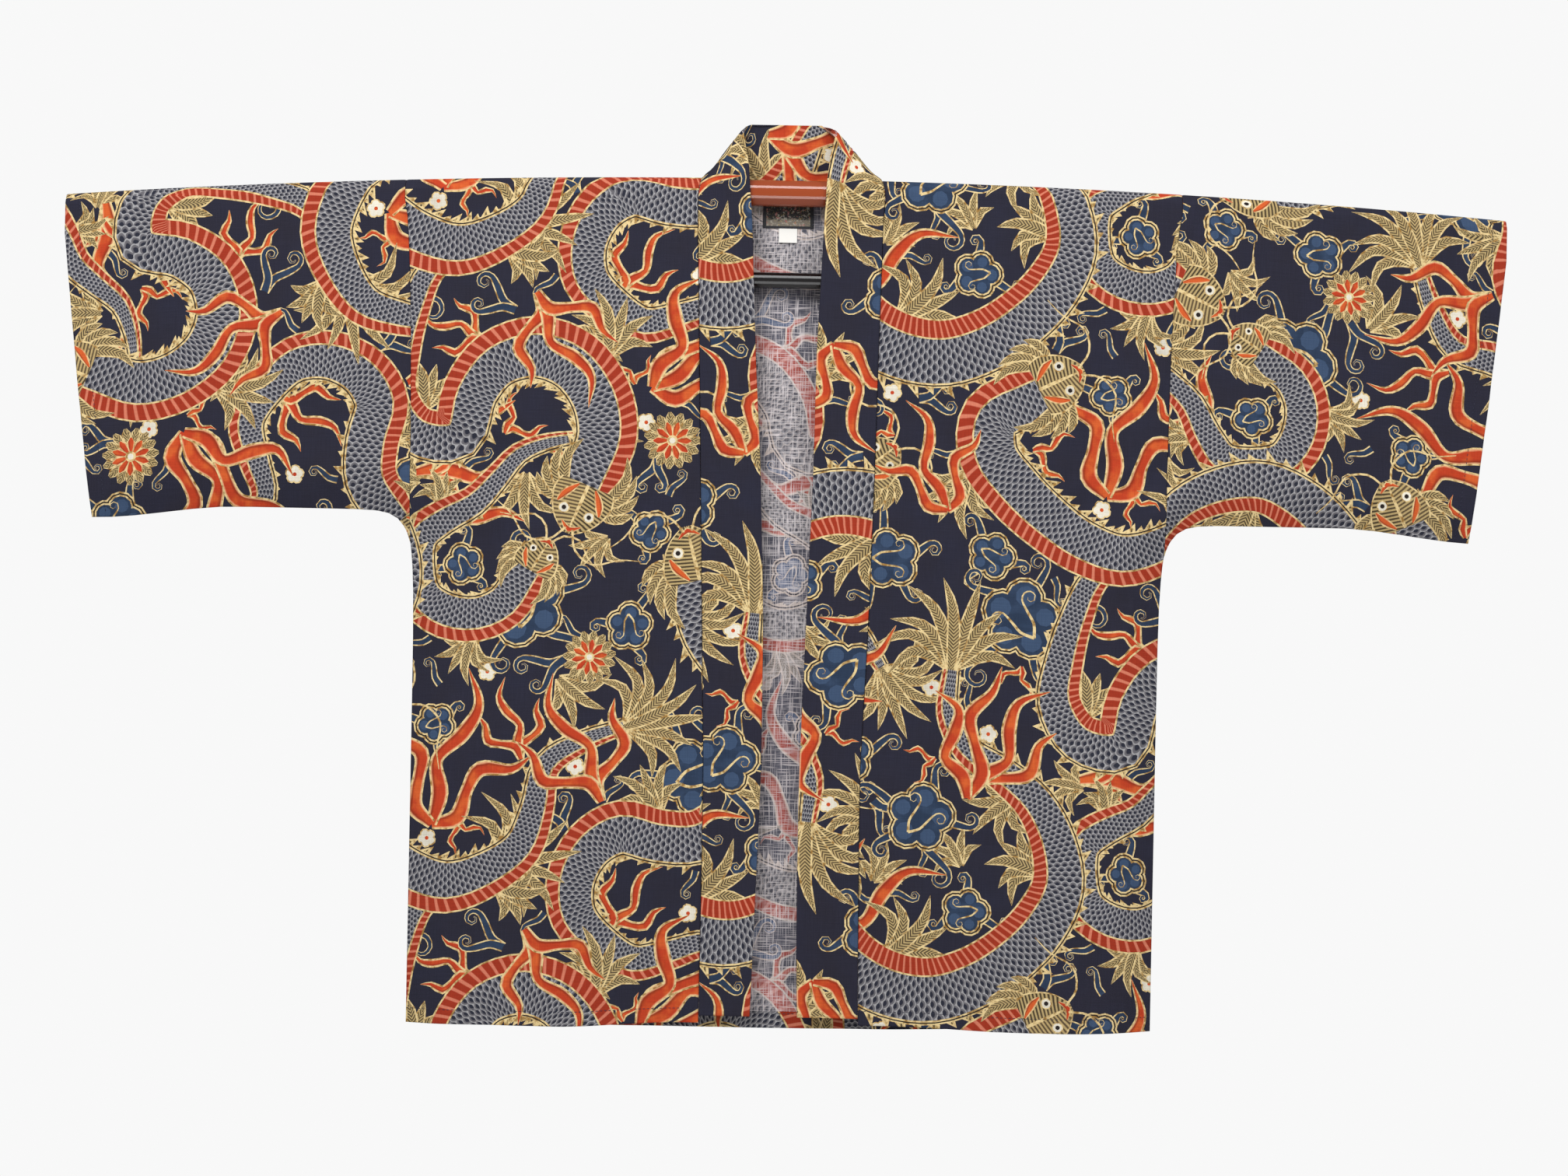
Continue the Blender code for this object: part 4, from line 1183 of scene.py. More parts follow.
def cut_print(name, cut, place, lines):
    """A piece's flat mesh: places on the flat cloth and on the print, faces, uppermost patches."""
    matrix, shift = (np.array(v, float) for v in LAYOUTS[name])
    back_turn = np.linalg.inv(matrix)

    def to_flat(places):
        return (places - shift) @ back_turn.T

    on_print = cut @ matrix.T + shift
    low, high = on_print.min(0), on_print.max(0)
    repeats = Repeats(ART, low - PRINT_MARGIN, high + PRINT_MARGIN)
    seams = [(np.array(a) @ matrix.T + shift, np.array(b) @ matrix.T + shift)
             for a, b in list(zip(cut, np.roll(cut, -1, 0))) + lines]
    finest = COLLAR_FINEST if name == "collar" else FINEST
    lattice = fine_places(low, high, place, to_flat, finest)
    shares = np.arange(0.0, 1.0, SAMPLE_STEP)[:, None, None]
    samples = (on_print + (np.roll(on_print, -1, 0) - on_print) * shares).reshape(-1, 2)
    places, faces, tops, count = [], [], [], 0
    for i in range(int(math.floor(low[0] / BLOCK)), int(math.ceil(high[0] / BLOCK))):
        for j in range(int(math.floor(low[1] / BLOCK)), int(math.ceil(high[1] / BLOCK))):
            start, end = np.array((i, j)) * BLOCK, np.array((i + 1, j + 1)) * BLOCK
            crossed = ((samples > start - NEAR) & (samples < end + NEAR)).all(1).any()
            if not crossed and not within(on_print, (start + end)[None] / 2.0)[0]:
                continue
            on_block = lattice[((lattice >= start - 1e-6) & (lattice <= end + 1e-6)).all(1)]
            block_places, block_faces, block_tops = cut_block(repeats, start, end, seams, on_block)
            keep = within(on_print, block_places[block_faces].mean(1))
            places.append(block_places)
            faces.append(block_faces[keep] + count)
            tops.append(block_tops[keep])
            count += len(block_places)
    places, faces, tops = merged(*(np.concatenate(part) for part in (places, faces, tops)))
    return to_flat(places), places, faces, tops, repeats


SAME_PLACE = 6e-6  # metres between two blocks' points that are made one


def merged(places, faces, tops):
    """The blocks' meshes made one, and unused points left out."""
    bm = bmesh.new()
    layer = bm.faces.layers.int.new("top")
    used = np.unique(faces)
    made = {v: bm.verts.new((places[v][0] * MM, places[v][1] * MM, 0.0)) for v in used.tolist()}
    for face, top in zip(faces.tolist(), tops.tolist()):
        bm.faces.new([made[v] for v in face])[layer] = top
    bmesh.ops.remove_doubles(bm, verts=bm.verts[:], dist=SAME_PLACE)
    bm.verts.index_update()
    new_places = np.array([(v.co.x, v.co.y) for v in bm.verts]) / MM
    good = [f for f in bm.faces if len(f.verts) == 3]
    new_faces = np.array([[v.index for v in f.verts] for f in good])
    new_tops = np.array([f[layer] for f in good])
    bm.free()
    return new_places, new_faces, new_tops


STEPS_AWAY = 5  # a patch's corners are looked for on this many steps either way
PAST_COST = 20.0  # how much worse a place beyond a step's end is than one beside it
MOST_ACROSS = 1.6
LEAST_HALF, LEAST_STEP = 0.3, 0.01  # millimetres, so that nothing is divided by 0


def stroke_places(repeats, faces, tops, on_print):
    """For each face corner: metres along its motif's line, and -1 to 1 across it."""
    stroke = np.stack([on_print[faces][:, :, 0] * MM, np.zeros(faces.shape)], 2)
    art = repeats.art
    lines = np.where(tops < 0, -1, np.array(art.line_of)[repeats.drawn(tops)])
    steps = np.array(art.step_of)[repeats.drawn(tops)]
    shifts = np.array(repeats.shift + [(0.0, 0.0)])[tops]
    groups = {}
    for face in np.nonzero(lines >= 0)[0].tolist():
        groups.setdefault((lines[face], shifts[face][0], shifts[face][1]), []).append(face)
    for (number, dx, dy), members in groups.items():
        line = art.lines[number]
        normal = normals_of(line)
        ahead = np.column_stack([normal[:, 1], -normal[:, 0]])
        corners = on_print[faces[members]].reshape(-1, 2) - (dx, dy)
        home = np.repeat(steps[members], 3)
        best = np.full(len(corners), 1e9)
        found = np.zeros((len(corners), 2))
        first, last = max(0, home.min() - STEPS_AWAY), min(len(line) - 2, home.max() + STEPS_AWAY)
        for k in range(first, last + 1):
            # Between the lines that cross the motif at this step and at the next
            past = (corners - line[k, :2]) @ ahead[k]
            left = (line[k + 1, :2] - corners) @ ahead[k + 1]
            share = np.clip(past / np.maximum(past + left, LEAST_STEP), 0.0, 1.0)[:, None]
            middle = line[k] + (line[k + 1] - line[k]) * share
            apart = corners - middle[:, :2]
            aside = (apart * (normal[k] + (normal[k + 1] - normal[k]) * share)).sum(1)
            off = np.hypot(*apart.T) + PAST_COST * np.maximum(np.maximum(-past, -left), 0.0)
            closer = (off < best) & (np.abs(k - home) <= STEPS_AWAY)
            best[closer] = off[closer]
            across = np.clip(aside / np.maximum(middle[:, 3], LEAST_HALF), -MOST_ACROSS, MOST_ACROSS)
            found[closer] = np.stack([middle[:, 2] * MM, across], 1)[closer]
        stroke[members] = found.reshape(-1, 3, 2)
    return stroke


BEND_STEP = 0.15  # millimetres either way over which a cloth's slope is taken
BAKE_EDGE = 0.004  # margin round each part of the layout for baking
BAKE_HEIGHT = 0.98  # share of the layout's height that is used
OUTWARD_STEP = 0.0004
INNER_DIP = 0.6  # how deep the inside dips at its edges, beside the outside
EDGE_SHADE = 1.6  # by how much the outside's shading leans more than its form
FAR = 1e3


def slopes(place, flat, faces):
    """How the cloth runs along and down at each place, and its outward normal. The faces are
    turned to agree with it."""
    along, down = [place(flat + step, 0.0) - place(flat - step, 0.0)
                   for step in ((BEND_STEP, 0.0), (0.0, BEND_STEP))]
    normal = unit_rows(np.cross(along, down))
    outside = place(flat, OUTWARD_STEP) - place(flat, -OUTWARD_STEP)
    if (normal * outside).sum() < 0.0:
        normal = -normal
    corners = place(flat, 0.0)[faces]
    face_normal = np.cross(corners[:, 1] - corners[:, 0], corners[:, 2] - corners[:, 0])
    wrong = (face_normal * normal[faces].mean(1)).sum(1) < 0.0
    faces[wrong] = faces[wrong][:, ::-1]
    return along, down, normal


def baking_layout(flat, inner_share):
    """Places in the layout for baking of the outside's points, then the inside's."""
    low, high = flat.min(0), flat.max(0)
    share = (flat - low) / (high - low)
    across = BAKE_EDGE + (1.0 - 2.0 * BAKE_EDGE) * share[:, 0]
    outer_share = BAKE_HEIGHT - inner_share
    rows = [start + BAKE_EDGE + (size - 2.0 * BAKE_EDGE) * share[:, 1]
            for start, size in ((0.0, outer_share), (outer_share, inner_share))]
    return np.concatenate([np.stack([across, row], 1) for row in rows])


def make_shell(name, cut, kinds, place, lines, inner_share):
    """A thin shell of cloth on the solid's form, with a material slot for every ink."""
    turn_up = TURN_UP / MM
    for wanted, distance in ((("seam", "hem", "edge"), DIP_WIDTH), (("hem",), turn_up),
                             (("hem",), turn_up + HEM_STEP)):
        lines = lines + inset_lines(cut, kinds, wanted, distance)
    flat, on_print, faces, tops, repeats = cut_print(name, cut, place, lines)
    along, down, normal = slopes(place, flat, faces)

    starts, ends = cut, np.roll(cut, -1, 0)
    hem = np.array([kind == "hem" for kind in kinds])
    edge_far, edge_near = nearest(flat, starts, ends)
    hem_far = nearest(flat, starts[hem], ends[hem])[0] if hem.any() else np.full(len(flat), FAR)

    # Thickness, with the edges sunk and the turned-up cloth added inside
    near_edge = np.clip(1.0 - edge_far / DIP_WIDTH, 0.0, 1.0)
    dip = SEAM_DIP * near_edge ** 2
    turned = TURN_WALL * (1.0 - ease((hem_far - turn_up) / HEM_STEP))
    inner = place(flat, -WALL / 2.0 - turned + dip * INNER_DIP)
    points = np.concatenate([place(flat, WALL / 2.0 - dip), inner])
    side = ends - starts
    inward = unit_rows(np.stack([-side[:, 1], side[:, 0]], 1) * np.sign(signed_area(cut)))[edge_near]
    tangent = unit_rows(along * inward[:, :1] + down * inward[:, 1:])
    leaning = tangent * (2.0 * SEAM_DIP / (DIP_WIDTH * MM) * near_edge)[:, None]
    normals = unit_rows(np.concatenate([normal - leaning * EDGE_SHADE, -normal - leaning]))

    # Sides of the shell
    sides, owner = sides_of(faces)
    count = len(flat)
    code = np.sort(sides, 1) @ np.array((count, 1))
    _, first, counts = np.unique(code, return_index=True, return_counts=True)
    open_sides = first[counts == 1]
    a, b = sides[open_sides].T
    rim = np.stack([b, a, a + count, b + count], 1)
    owner = owner[open_sides]

    inks = np.where(tops < 0, GROUND, np.array(ART.inks)[repeats.drawn(tops)])
    in_hem = hem_far[faces].mean(1) < turn_up + HEM_STEP
    inner_inks = np.where(in_hem, inks, inks + len(INKS))
    loops = np.concatenate([faces.ravel(), faces[:, ::-1].ravel() + count, rim.ravel()])
    sizes = np.concatenate([np.full(2 * len(faces), 3), np.full(len(rim), 4)])
    mesh = bpy.data.meshes.new(name + "_cloth")
    mesh.vertices.add(len(points))
    mesh.vertices.foreach_set("co", points.ravel())
    mesh.loops.add(len(loops))
    mesh.loops.foreach_set("vertex_index", loops)
    mesh.polygons.add(len(sizes))
    mesh.polygons.foreach_set("loop_start", np.concatenate([[0], np.cumsum(sizes)[:-1]]))
    mesh.polygons.foreach_set("material_index", np.concatenate([inks, inner_inks, inks[owner]]))
    mesh.update(calc_edges=True)

    # UV maps: the cloth in metres, the motif's line, and the layout for baking
    stroke = stroke_places(repeats, faces, tops, on_print)
    rim_stroke = np.repeat(stroke[owner].mean(1), 4, 0)
    strokes = np.concatenate([stroke.reshape(-1, 2), stroke[:, ::-1].reshape(-1, 2), rim_stroke])
    for layer, values in (("cloth", np.tile(on_print * MM, (2, 1))[loops]), ("stroke", strokes),
                          ("OFBake", baking_layout(flat, inner_share)[loops])):
        mesh.uv_layers.new(name=layer).data.foreach_set("uv", values.ravel())
    mesh.shade_smooth()
    mesh.normals_split_custom_set_from_vertices(normals.tolist())
    for face in ("print_", "reverse_"):
        for ink in INKS:
            mesh.materials.append(bpy.data.materials[face + ink])
    return linked(name + "_cloth", mesh)


# ---- materials

def to_linear(text):
    """Linear colour from an sRGB hex value."""
    values = [int(text[k:k + 2], 16) / 255.0 for k in (1, 3, 5)]
    return tuple(v / 12.92 if v <= 0.04045 else ((v + 0.055) / 1.055) ** 2.4 for v in values)


def add_node(tree, kind, inputs=(), **settings):
    """Add a node. Each input is (name or number, value or the socket that feeds it)."""
    made = tree.nodes.new(kind)
    for name, value in settings.items():
        setattr(made, name, value)
    for key, value in inputs:
        if isinstance(value, bpy.types.NodeSocket):
            tree.links.new(value, made.inputs[key])
        else:
            made.inputs[key].default_value = value
    return made


def calc(tree, operation, a, b=0.0, c=0.0):
    """The result of one calculation on numbers or sockets."""
    return add_node(tree, "ShaderNodeMath", ((0, a), (1, b), (2, c)), operation=operation).outputs[0]


def mix_colours(tree, share, a, b, blend="MIX"):
    """Colour b over colour a by a share."""
    made = add_node(tree, "ShaderNodeMix", ((0, share), (6, a), (7, b)),
                    data_type="RGBA", blend_type=blend)
    return made.outputs[2]


def rgba(colour):
    """Three channels and full cover."""
    return tuple(colour) + (1.0,)


def noise(tree, vector, scale, stretch, detail=2.0):
    """Soft noise in a UV map in metres, scale and stretch per metre along x and y."""
    spread = add_node(tree, "ShaderNodeVectorMath",
                      ((0, vector), (1, (stretch[0] * scale, stretch[1] * scale, 1.0))),
                      operation="MULTIPLY").outputs[0]
    return add_node(tree, "ShaderNodeTexNoise", (("Vector", spread), ("Scale", 1.0), ("Detail", detail)),
                    noise_dimensions="2D").outputs[0]


SLUBS, SLUB_STRETCH = 40.0, 24.0  # per metre along a thread, and how much finer across


def weave(tree):
    """Slubs of the cotton: thick threads 1 mm wide and 24 mm long in both directions, about
    twice as coarse as real ones, which would be too fine to show."""
    cloth = add_node(tree, "ShaderNodeUVMap", uv_map="cloth").outputs[0]
    weft = noise(tree, cloth, SLUBS, (1.0, SLUB_STRETCH))
    warp = noise(tree, cloth, SLUBS, (SLUB_STRETCH, 1.0))
    return cloth, weft, warp


def new_material(name):
    """Nodes and shader of a new material."""
    made = bpy.data.materials.new(name)
    if made.name != name:
        raise ValueError("material name in use: " + name)
    made.use_nodes = True
    return made.node_tree, made.node_tree.nodes["Principled BSDF"]


THREAD_HEIGHT, COTTON_SHINE = 0.0004, 0.18


def finish_cloth(tree, shader, colour, weft, warp, spread, rough):
    """Slubbed colour, bump and cotton's soft finish."""
    threads = calc(tree, "MULTIPLY", calc(tree, "ADD", weft, warp), 0.5)
    lift = calc(tree, "MULTIPLY_ADD", threads, 2.0 * spread, 1.0 - spread)
    grey = add_node(tree, "ShaderNodeCombineColor", ((0, lift), (1, lift), (2, lift))).outputs[0]
    tree.links.new(mix_colours(tree, 1.0, colour, grey, "MULTIPLY"), shader.inputs["Base Color"])
    bump = add_node(tree, "ShaderNodeBump",
                    (("Height", threads), ("Strength", 0.5), ("Distance", THREAD_HEIGHT)))
    tree.links.new(bump.outputs[0], shader.inputs["Normal"])
    shader.inputs["Roughness"].default_value = rough
    shader.inputs["Specular IOR Level"].default_value = COTTON_SHINE


def stroke_of(tree):
    """Millimetres along the motif's line and -1 to 1 across it."""
    parts = add_node(tree, "ShaderNodeSeparateXYZ",
                     ((0, add_node(tree, "ShaderNodeUVMap", uv_map="stroke").outputs[0]),))
    return calc(tree, "MULTIPLY", parts.outputs[0], 1000.0), parts.outputs[1]


SCALE_LENGTH = 8.5  # millimetres between rows of fish scales
SCALES_ACROSS = 3.1  # scales over half a carp's width
SCALE_REACH = 0.62  # of a scale that covers the next row
RIB_SPACING, RIB_SLANT = 7.5, 6.0  # millimetres between the belly's ribs, and their lean
BARB_SPACING, BARB_SLANT = 3.4, 5.0  # the same of a plume's barbs


def either(tree, first, a, b):
    """a where first is 1, and b where it is 0."""
    return calc(tree, "ADD", calc(tree, "MULTIPLY", a, first),
                calc(tree, "MULTIPLY", b, calc(tree, "SUBTRACT", 1.0, first)))


def scale_pattern(tree, along, across):
    """Distance from the root of the uppermost fish scale at a place, 0 to about 1."""
    x = calc(tree, "MULTIPLY", across, SCALES_ACROSS)
    y = calc(tree, "DIVIDE", along, SCALE_LENGTH)
    rises, sizes = [], []
    for offset in (0.0, 0.5):
        side = calc(tree, "SUBTRACT", calc(tree, "FRACT", calc(tree, "ADD", x, offset + 0.5)), 0.5)
        rises.append(calc(tree, "FRACT", calc(tree, "ADD", y, offset)))
        squares = [calc(tree, "MULTIPLY", size, size) for size in (side, rises[-1])]
        sizes.append(calc(tree, "SQRT", calc(tree, "ADD", *squares)))
    first = calc(tree, "GREATER_THAN", rises[0], 0.5)
    high, low = either(tree, first, *sizes), either(tree, first, *sizes[::-1])
    return either(tree, calc(tree, "LESS_THAN", high, SCALE_REACH), high, low)


def smooth_step(tree, value, start, end):
    """0 before start, 1 past end, and a smooth rise between."""
    return add_node(tree, "ShaderNodeMapRange", ((0, value), (1, start), (2, end), (3, 0.0), (4, 1.0)),
                    interpolation_type="SMOOTHSTEP").outputs[0]


def lay_over(tree, under, colour, value, start, end, most=1.0):
    """A colour laid over another as a value goes from start to end, to a cover of most."""
    cover = calc(tree, "MULTIPLY", smooth_step(tree, value, start, end), most)
    return mix_colours(tree, cover, under, rgba(colour))


def stripes(tree, along, aside, slant, spacing, rise, fall):
    """1 on slanting stripes between two pairs of shares of their spacing."""
    slanted = calc(tree, "MULTIPLY_ADD", aside, slant, along)
    share = calc(tree, "FRACT", calc(tree, "DIVIDE", slanted, spacing))
    return calc(tree, "MULTIPLY", smooth_step(tree, share, *rise), smooth_step(tree, share, *fall))


def ink_colour(tree, ink, colours, cloth):
    """An ink with its motif's own shading: scales, ribs, barbs or cloudy patches."""
    base = rgba(getattr(colours, ink))
    if ink == "gold":
        return lay_over(tree, base, colours.pale_gold, noise(tree, cloth, 170.0, (1.0, 1.0)), 0.28, 0.60)
    if ink in ("cloud", "pale_cloud"):
        patch = noise(tree, cloth, 45.0, (1.0, 2.0), 4.0)
        return lay_over(tree, base, colours.pale_cloud, patch, 0.4, 0.8, 0.5)
    if ink not in STROKED:
        patch = noise(tree, cloth, 25.0, (1.0, 1.0), 3.0)
        return mix_colours(tree, calc(tree, "MULTIPLY", patch, 0.5), base, rgba(colours.dark))

    along, across = stroke_of(tree)
    if ink == "scales":
        size = scale_pattern(tree, along, across)
        inner = lay_over(tree, rgba(colours.scale_heart), colours.scales, size, 0.30, 0.40)
        return lay_over(tree, inner, colours.scale_edge, size, 0.49, 0.56)
    if ink == "belly":
        rib = stripes(tree, along, across, RIB_SLANT, RIB_SPACING, (0.10, 0.20), (0.52, 0.40))
        return mix_colours(tree, calc(tree, "MULTIPLY", rib, 0.8), base, rgba(colours.rib))
    aside = calc(tree, "ABSOLUTE", across)
    if ink in ("plume", "grey_plume"):
        barb = stripes(tree, along, aside, -BARB_SLANT, BARB_SPACING, (0.1, 0.4), (0.9, 0.6))
        shaded = lay_over(tree, base, colours.shaded_plume, across, -0.1, 0.3)
        return mix_colours(tree, calc(tree, "MULTIPLY", barb, 0.8), shaded, rgba(colours.barb))
    lit = lay_over(tree, base, colours.orange, noise(tree, cloth, 60.0, (1.0, 1.0), 3.0), 0.4, 0.7)
    shaded = lay_over(tree, lit, colours.maroon, across, 0.2, 0.8, 0.8)
    return lay_over(tree, shaded, colours.peach, aside, 0.72, 0.96, 0.75)


def make_cloth_materials(settings):
    """Every ink on the face of the cotton, and its faded reverse."""
    for ink in INKS:
        # Ink printed on the face of the slub cotton
        tree, shader = new_material("print_" + ink)
        cloth, weft, warp = weave(tree)
        colour = ink_colour(tree, ink, settings.face, cloth)
        finish_cloth(tree, shader, colour, weft, warp, 0.28, 0.86)
        # The same ink where it has come through to the reverse, pale and crossed by bare threads
        tree, shader = new_material("reverse_" + ink)
        cloth, weft, warp = weave(tree)
        colour = ink_colour(tree, ink, settings.reverse, cloth)
        threads = calc(tree, "MAXIMUM", weft, warp)
        colour = lay_over(tree, colour, settings.reverse.bare_thread, threads, 0.48, 0.72, 0.68)
        finish_cloth(tree, shader, colour, weft, warp, 0.30, 0.90)


BROCADE_TOP, BROCADE_BELOW = "#100e0e", "#70685c"
BROCADE_LEVEL = LABEL_BOTTOM_Z + 0.0085  # where the one gives way to the other
BROCADE_RAGGED = 0.012  # by how much that line wanders
# Flecks per metre, shift of their noise, start, end, most and colour
FLECKS = ((420.0, 0.0, 0.55, 0.65, 0.7, "#a8a294"), (260.0, 3.7, 0.58, 0.66, 0.8, "#9c5a58"),
          (700.0, 9.1, 0.60, 0.70, 0.7, "#b59a5a"))
ROD_STREAKS = (4.0, 60.0, 60.0)  # per metre along the rod and across it


def object_noise(tree, operation, vector, scale):
    """Soft noise in the object's metres, moved or stretched by a vector."""
    place = add_node(tree, "ShaderNodeTexCoord").outputs["Object"]
    moved = add_node(tree, "ShaderNodeVectorMath", ((0, place), (1, vector)), operation=operation)
    return add_node(tree, "ShaderNodeTexNoise", (("Vector", moved.outputs[0]), ("Scale", scale),
                                                 ("Detail", 2.0))).outputs[0]


def make_trim_materials(settings):
    """Label, tape, thread and the hanger's plastics."""
    # Woven label: black at the top, taupe brocade below, both flecked with gold and rose thread.
    # The flecks are 1.5 to 4 mm, as on real brocade.
    tree, shader = new_material("label_brocade")
    shader.inputs["Roughness"].default_value = 0.62
    place = add_node(tree, "ShaderNodeTexCoord").outputs["Object"]
    high = add_node(tree, "ShaderNodeSeparateXYZ", ((0, place),)).outputs[2]
    flecks = [object_noise(tree, "ADD", (shift, shift, shift), scale) for scale, shift, *_ in FLECKS]
    ragged = calc(tree, "MULTIPLY_ADD", flecks[1], BROCADE_RAGGED, BROCADE_LEVEL - BROCADE_RAGGED / 2.0)
    below = calc(tree, "SUBTRACT", ragged, high)
    base = lay_over(tree, rgba(to_linear(BROCADE_TOP)), to_linear(BROCADE_BELOW), below, -0.001, 0.001)
    for fleck, (_, _, start, end, most, colour) in zip(flecks, FLECKS):
        base = lay_over(tree, base, to_linear(colour), fleck, start, end, most)
    tree.links.new(base, shader.inputs["Base Color"])
    # Glossy moulded plastic of the rod, faintly streaked along it
    tree, shader = new_material("glossy_brown_plastic")
    streak = object_noise(tree, "MULTIPLY", ROD_STREAKS, 1.0)
    base = mix_colours(tree, streak, rgba(to_linear("#893918")), rgba(to_linear("#a04823")))
    tree.links.new(base, shader.inputs["Base Color"])
    shader.inputs["Roughness"].default_value = 0.16
    for name, colour, rough in (
            ("label_border", to_linear("#0c0c10"), 0.6),             # black border of the label
            ("cotton_tape", to_linear("#e9e7e2"), 0.75),             # white tape of the size tag
            ("sewing_thread", settings.thread, 0.6),                 # navy thread of the stitches
            ("glossy_black_plastic", to_linear("#141112"), 0.14),    # lower bar and its links
            ("studio_floor", to_linear("#cfcfcf"), 0.9)):            # floor under the coat
        shader = new_material(name)[1]
        shader.inputs["Base Color"].default_value = rgba(colour)
        shader.inputs["Roughness"].default_value = rough


# ---- settings

def colour_setting(name, description, text):
    """A colour that the user may change, given as an sRGB hex value."""
    return FloatVectorProperty(name=name, description=description, default=to_linear(text),
                               min=0.0, max=1.0, subtype="COLOR", size=3)


def size_setting(name, description, default, low, high, unit="LENGTH"):
    """A size in metres, or an angle, that the user may change."""
    return FloatProperty(name=name, description=description, default=default, min=low, max=high, unit=unit)


# Setting, what it colours, colour on the face and on the reverse
INK_COLOURS = (
    ("ground", "Dyed cotton", "#262738", "#5b5b67"),
    ("gold", "Outlines", "#94703a", "#b0a29b"),
    ("pale_gold", "Lighter parts of the outlines", "#dcc48f", "#c6b8b1"),
    ("scales", "Carp's back", "#646267", "#7f7e84"),
    ("scale_heart", "Dark middle of each scale", "#282a36", "#4c4b54"),
    ("scale_edge", "Pale edge of each scale", "#9b9a9c", "#a39c9c"),
    ("belly", "Carp's belly", "#98311c", "#a3544d"),
    ("rib", "Pale ribs on the belly", "#d37f65", "#c28b84"),
    ("red", "Streamers", "#b43c1f", "#a04a43"),
    ("orange", "Lighter red", "#c95a2a", "#b76f66"),
    ("maroon", "Shaded red", "#7b2812", "#884843"),
    ("peach", "Pale edges of the streamers", "#e6ac80", "#cda79c"),
    ("cloud", "Clouds", "#27354b", "#4f5d78"),
    ("pale_cloud", "Lighter patches of the clouds", "#394b66", "#757c90"),
    ("plume", "Fins and sprays", "#584833", "#8a8683"),
    ("grey_plume", "Shaded side of the fins", "#4c4030", "#7b7472"),
    ("shaded_plume", "Darker half of each fin", "#403526", "#7b7572"),
    ("barb", "Fine lines of the plumes", "#c6ad77", "#a89d95"),
    ("cream", "Blossoms", "#f6efdc", "#cbbdb6"),
    ("dark", "Darkest parts", "#26201f", "#3c3b45"),
)


def ink_settings(column):
    """The colour settings of one side of the cloth."""
    return {row[0]: colour_setting(row[0].replace("_", " ").capitalize(), row[1], row[column])
            for row in INK_COLOURS}


class FaceInks(bpy.types.PropertyGroup):
    """Colours of the print's face."""
    __annotations__ = ink_settings(2)


class ReverseInks(bpy.types.PropertyGroup):
    """Colours of the print's faded reverse."""
    __annotations__ = ink_settings(3)
    bare_thread: colour_setting("Bare thread", "Undyed threads", "#dad2d3")


class HappiSettings(bpy.types.PropertyGroup):
    """Colours and sizes of the coat and of its studio."""
    face: PointerProperty(type=FaceInks)
    reverse: PointerProperty(type=ReverseInks)
    thread: colour_setting("Thread", "Sewing thread", "#23243a")
    stitch_length: size_setting("Stitch length", "Length of one stitch", 0.0028, 0.001, 0.01)
    stitch_gap: size_setting("Stitch gap", "Bare cloth between two stitches", 0.0012, 0.0002, 0.01)
    thread_width: size_setting("Thread width", "Thickness of the sewing thread", 0.0006, 0.0001, 0.003)
    camera_distance: size_setting("Camera distance", "From the coat's middle plane", 3.0, 1.0, 10.0)
    view_width: size_setting("View width", "Width shown at the coat's middle plane", 1.482, 0.2, 5.0)
    view_roll: size_setting("View roll", "Tilt of the camera about its own axis", math.radians(-1.13),
                            -0.5, 0.5, "ROTATION")
    floor_radius: size_setting("Floor radius", "Radius of the studio's floor", 1.12, 0.2, 5.0)


# ---- operators

def dress(piece, node):
    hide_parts(node)
    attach(piece, "root")


def make_cloth(name, cut_and_kinds, place, lines_of, inner_share=0.14):
    """A cut piece of cloth in place of its solid, its flat size taken from the cut."""
    cut, kinds = cut_and_kinds
    piece = make_shell(name, cut, kinds, place, lines_of(cut), inner_share)
    dress(piece, name)


FLOOR_Z = -1.15
VIEW_MIDDLE = (-0.0022, -0.3727)  # x and z that the camera faces
SENSOR_WIDTH = 36.0  # millimetres
WORLD_LIGHT, WORLD_SEEN = 0.34, 0.94  # what the pale world gives, and what the camera sees
# Name, place, aim, size and watts
LIGHTS = (
    ("key", (-1.1, -2.4, 1.75), (0.0, 0.0, -0.2), (1.6, 1.2), 78.0),
    ("fill", (1.7, -2.4, 1.0), (0.0, 0.0, -0.3), (1.2, 1.4), 30.0),
    ("top_strip", (0.0, -1.6, 2.05), (0.0, 0.0, 0.0), (0.9, 0.24), 9.0),
    ("low_strip", (0.0, -2.0, -1.55), (0.0, 0.0, 0.0), (0.9, 0.24), 4.5),
    ("behind", (0.4, 2.6, 1.2), (0.0, 0.0, -0.4), (2.0, 1.4), 50.0),
)


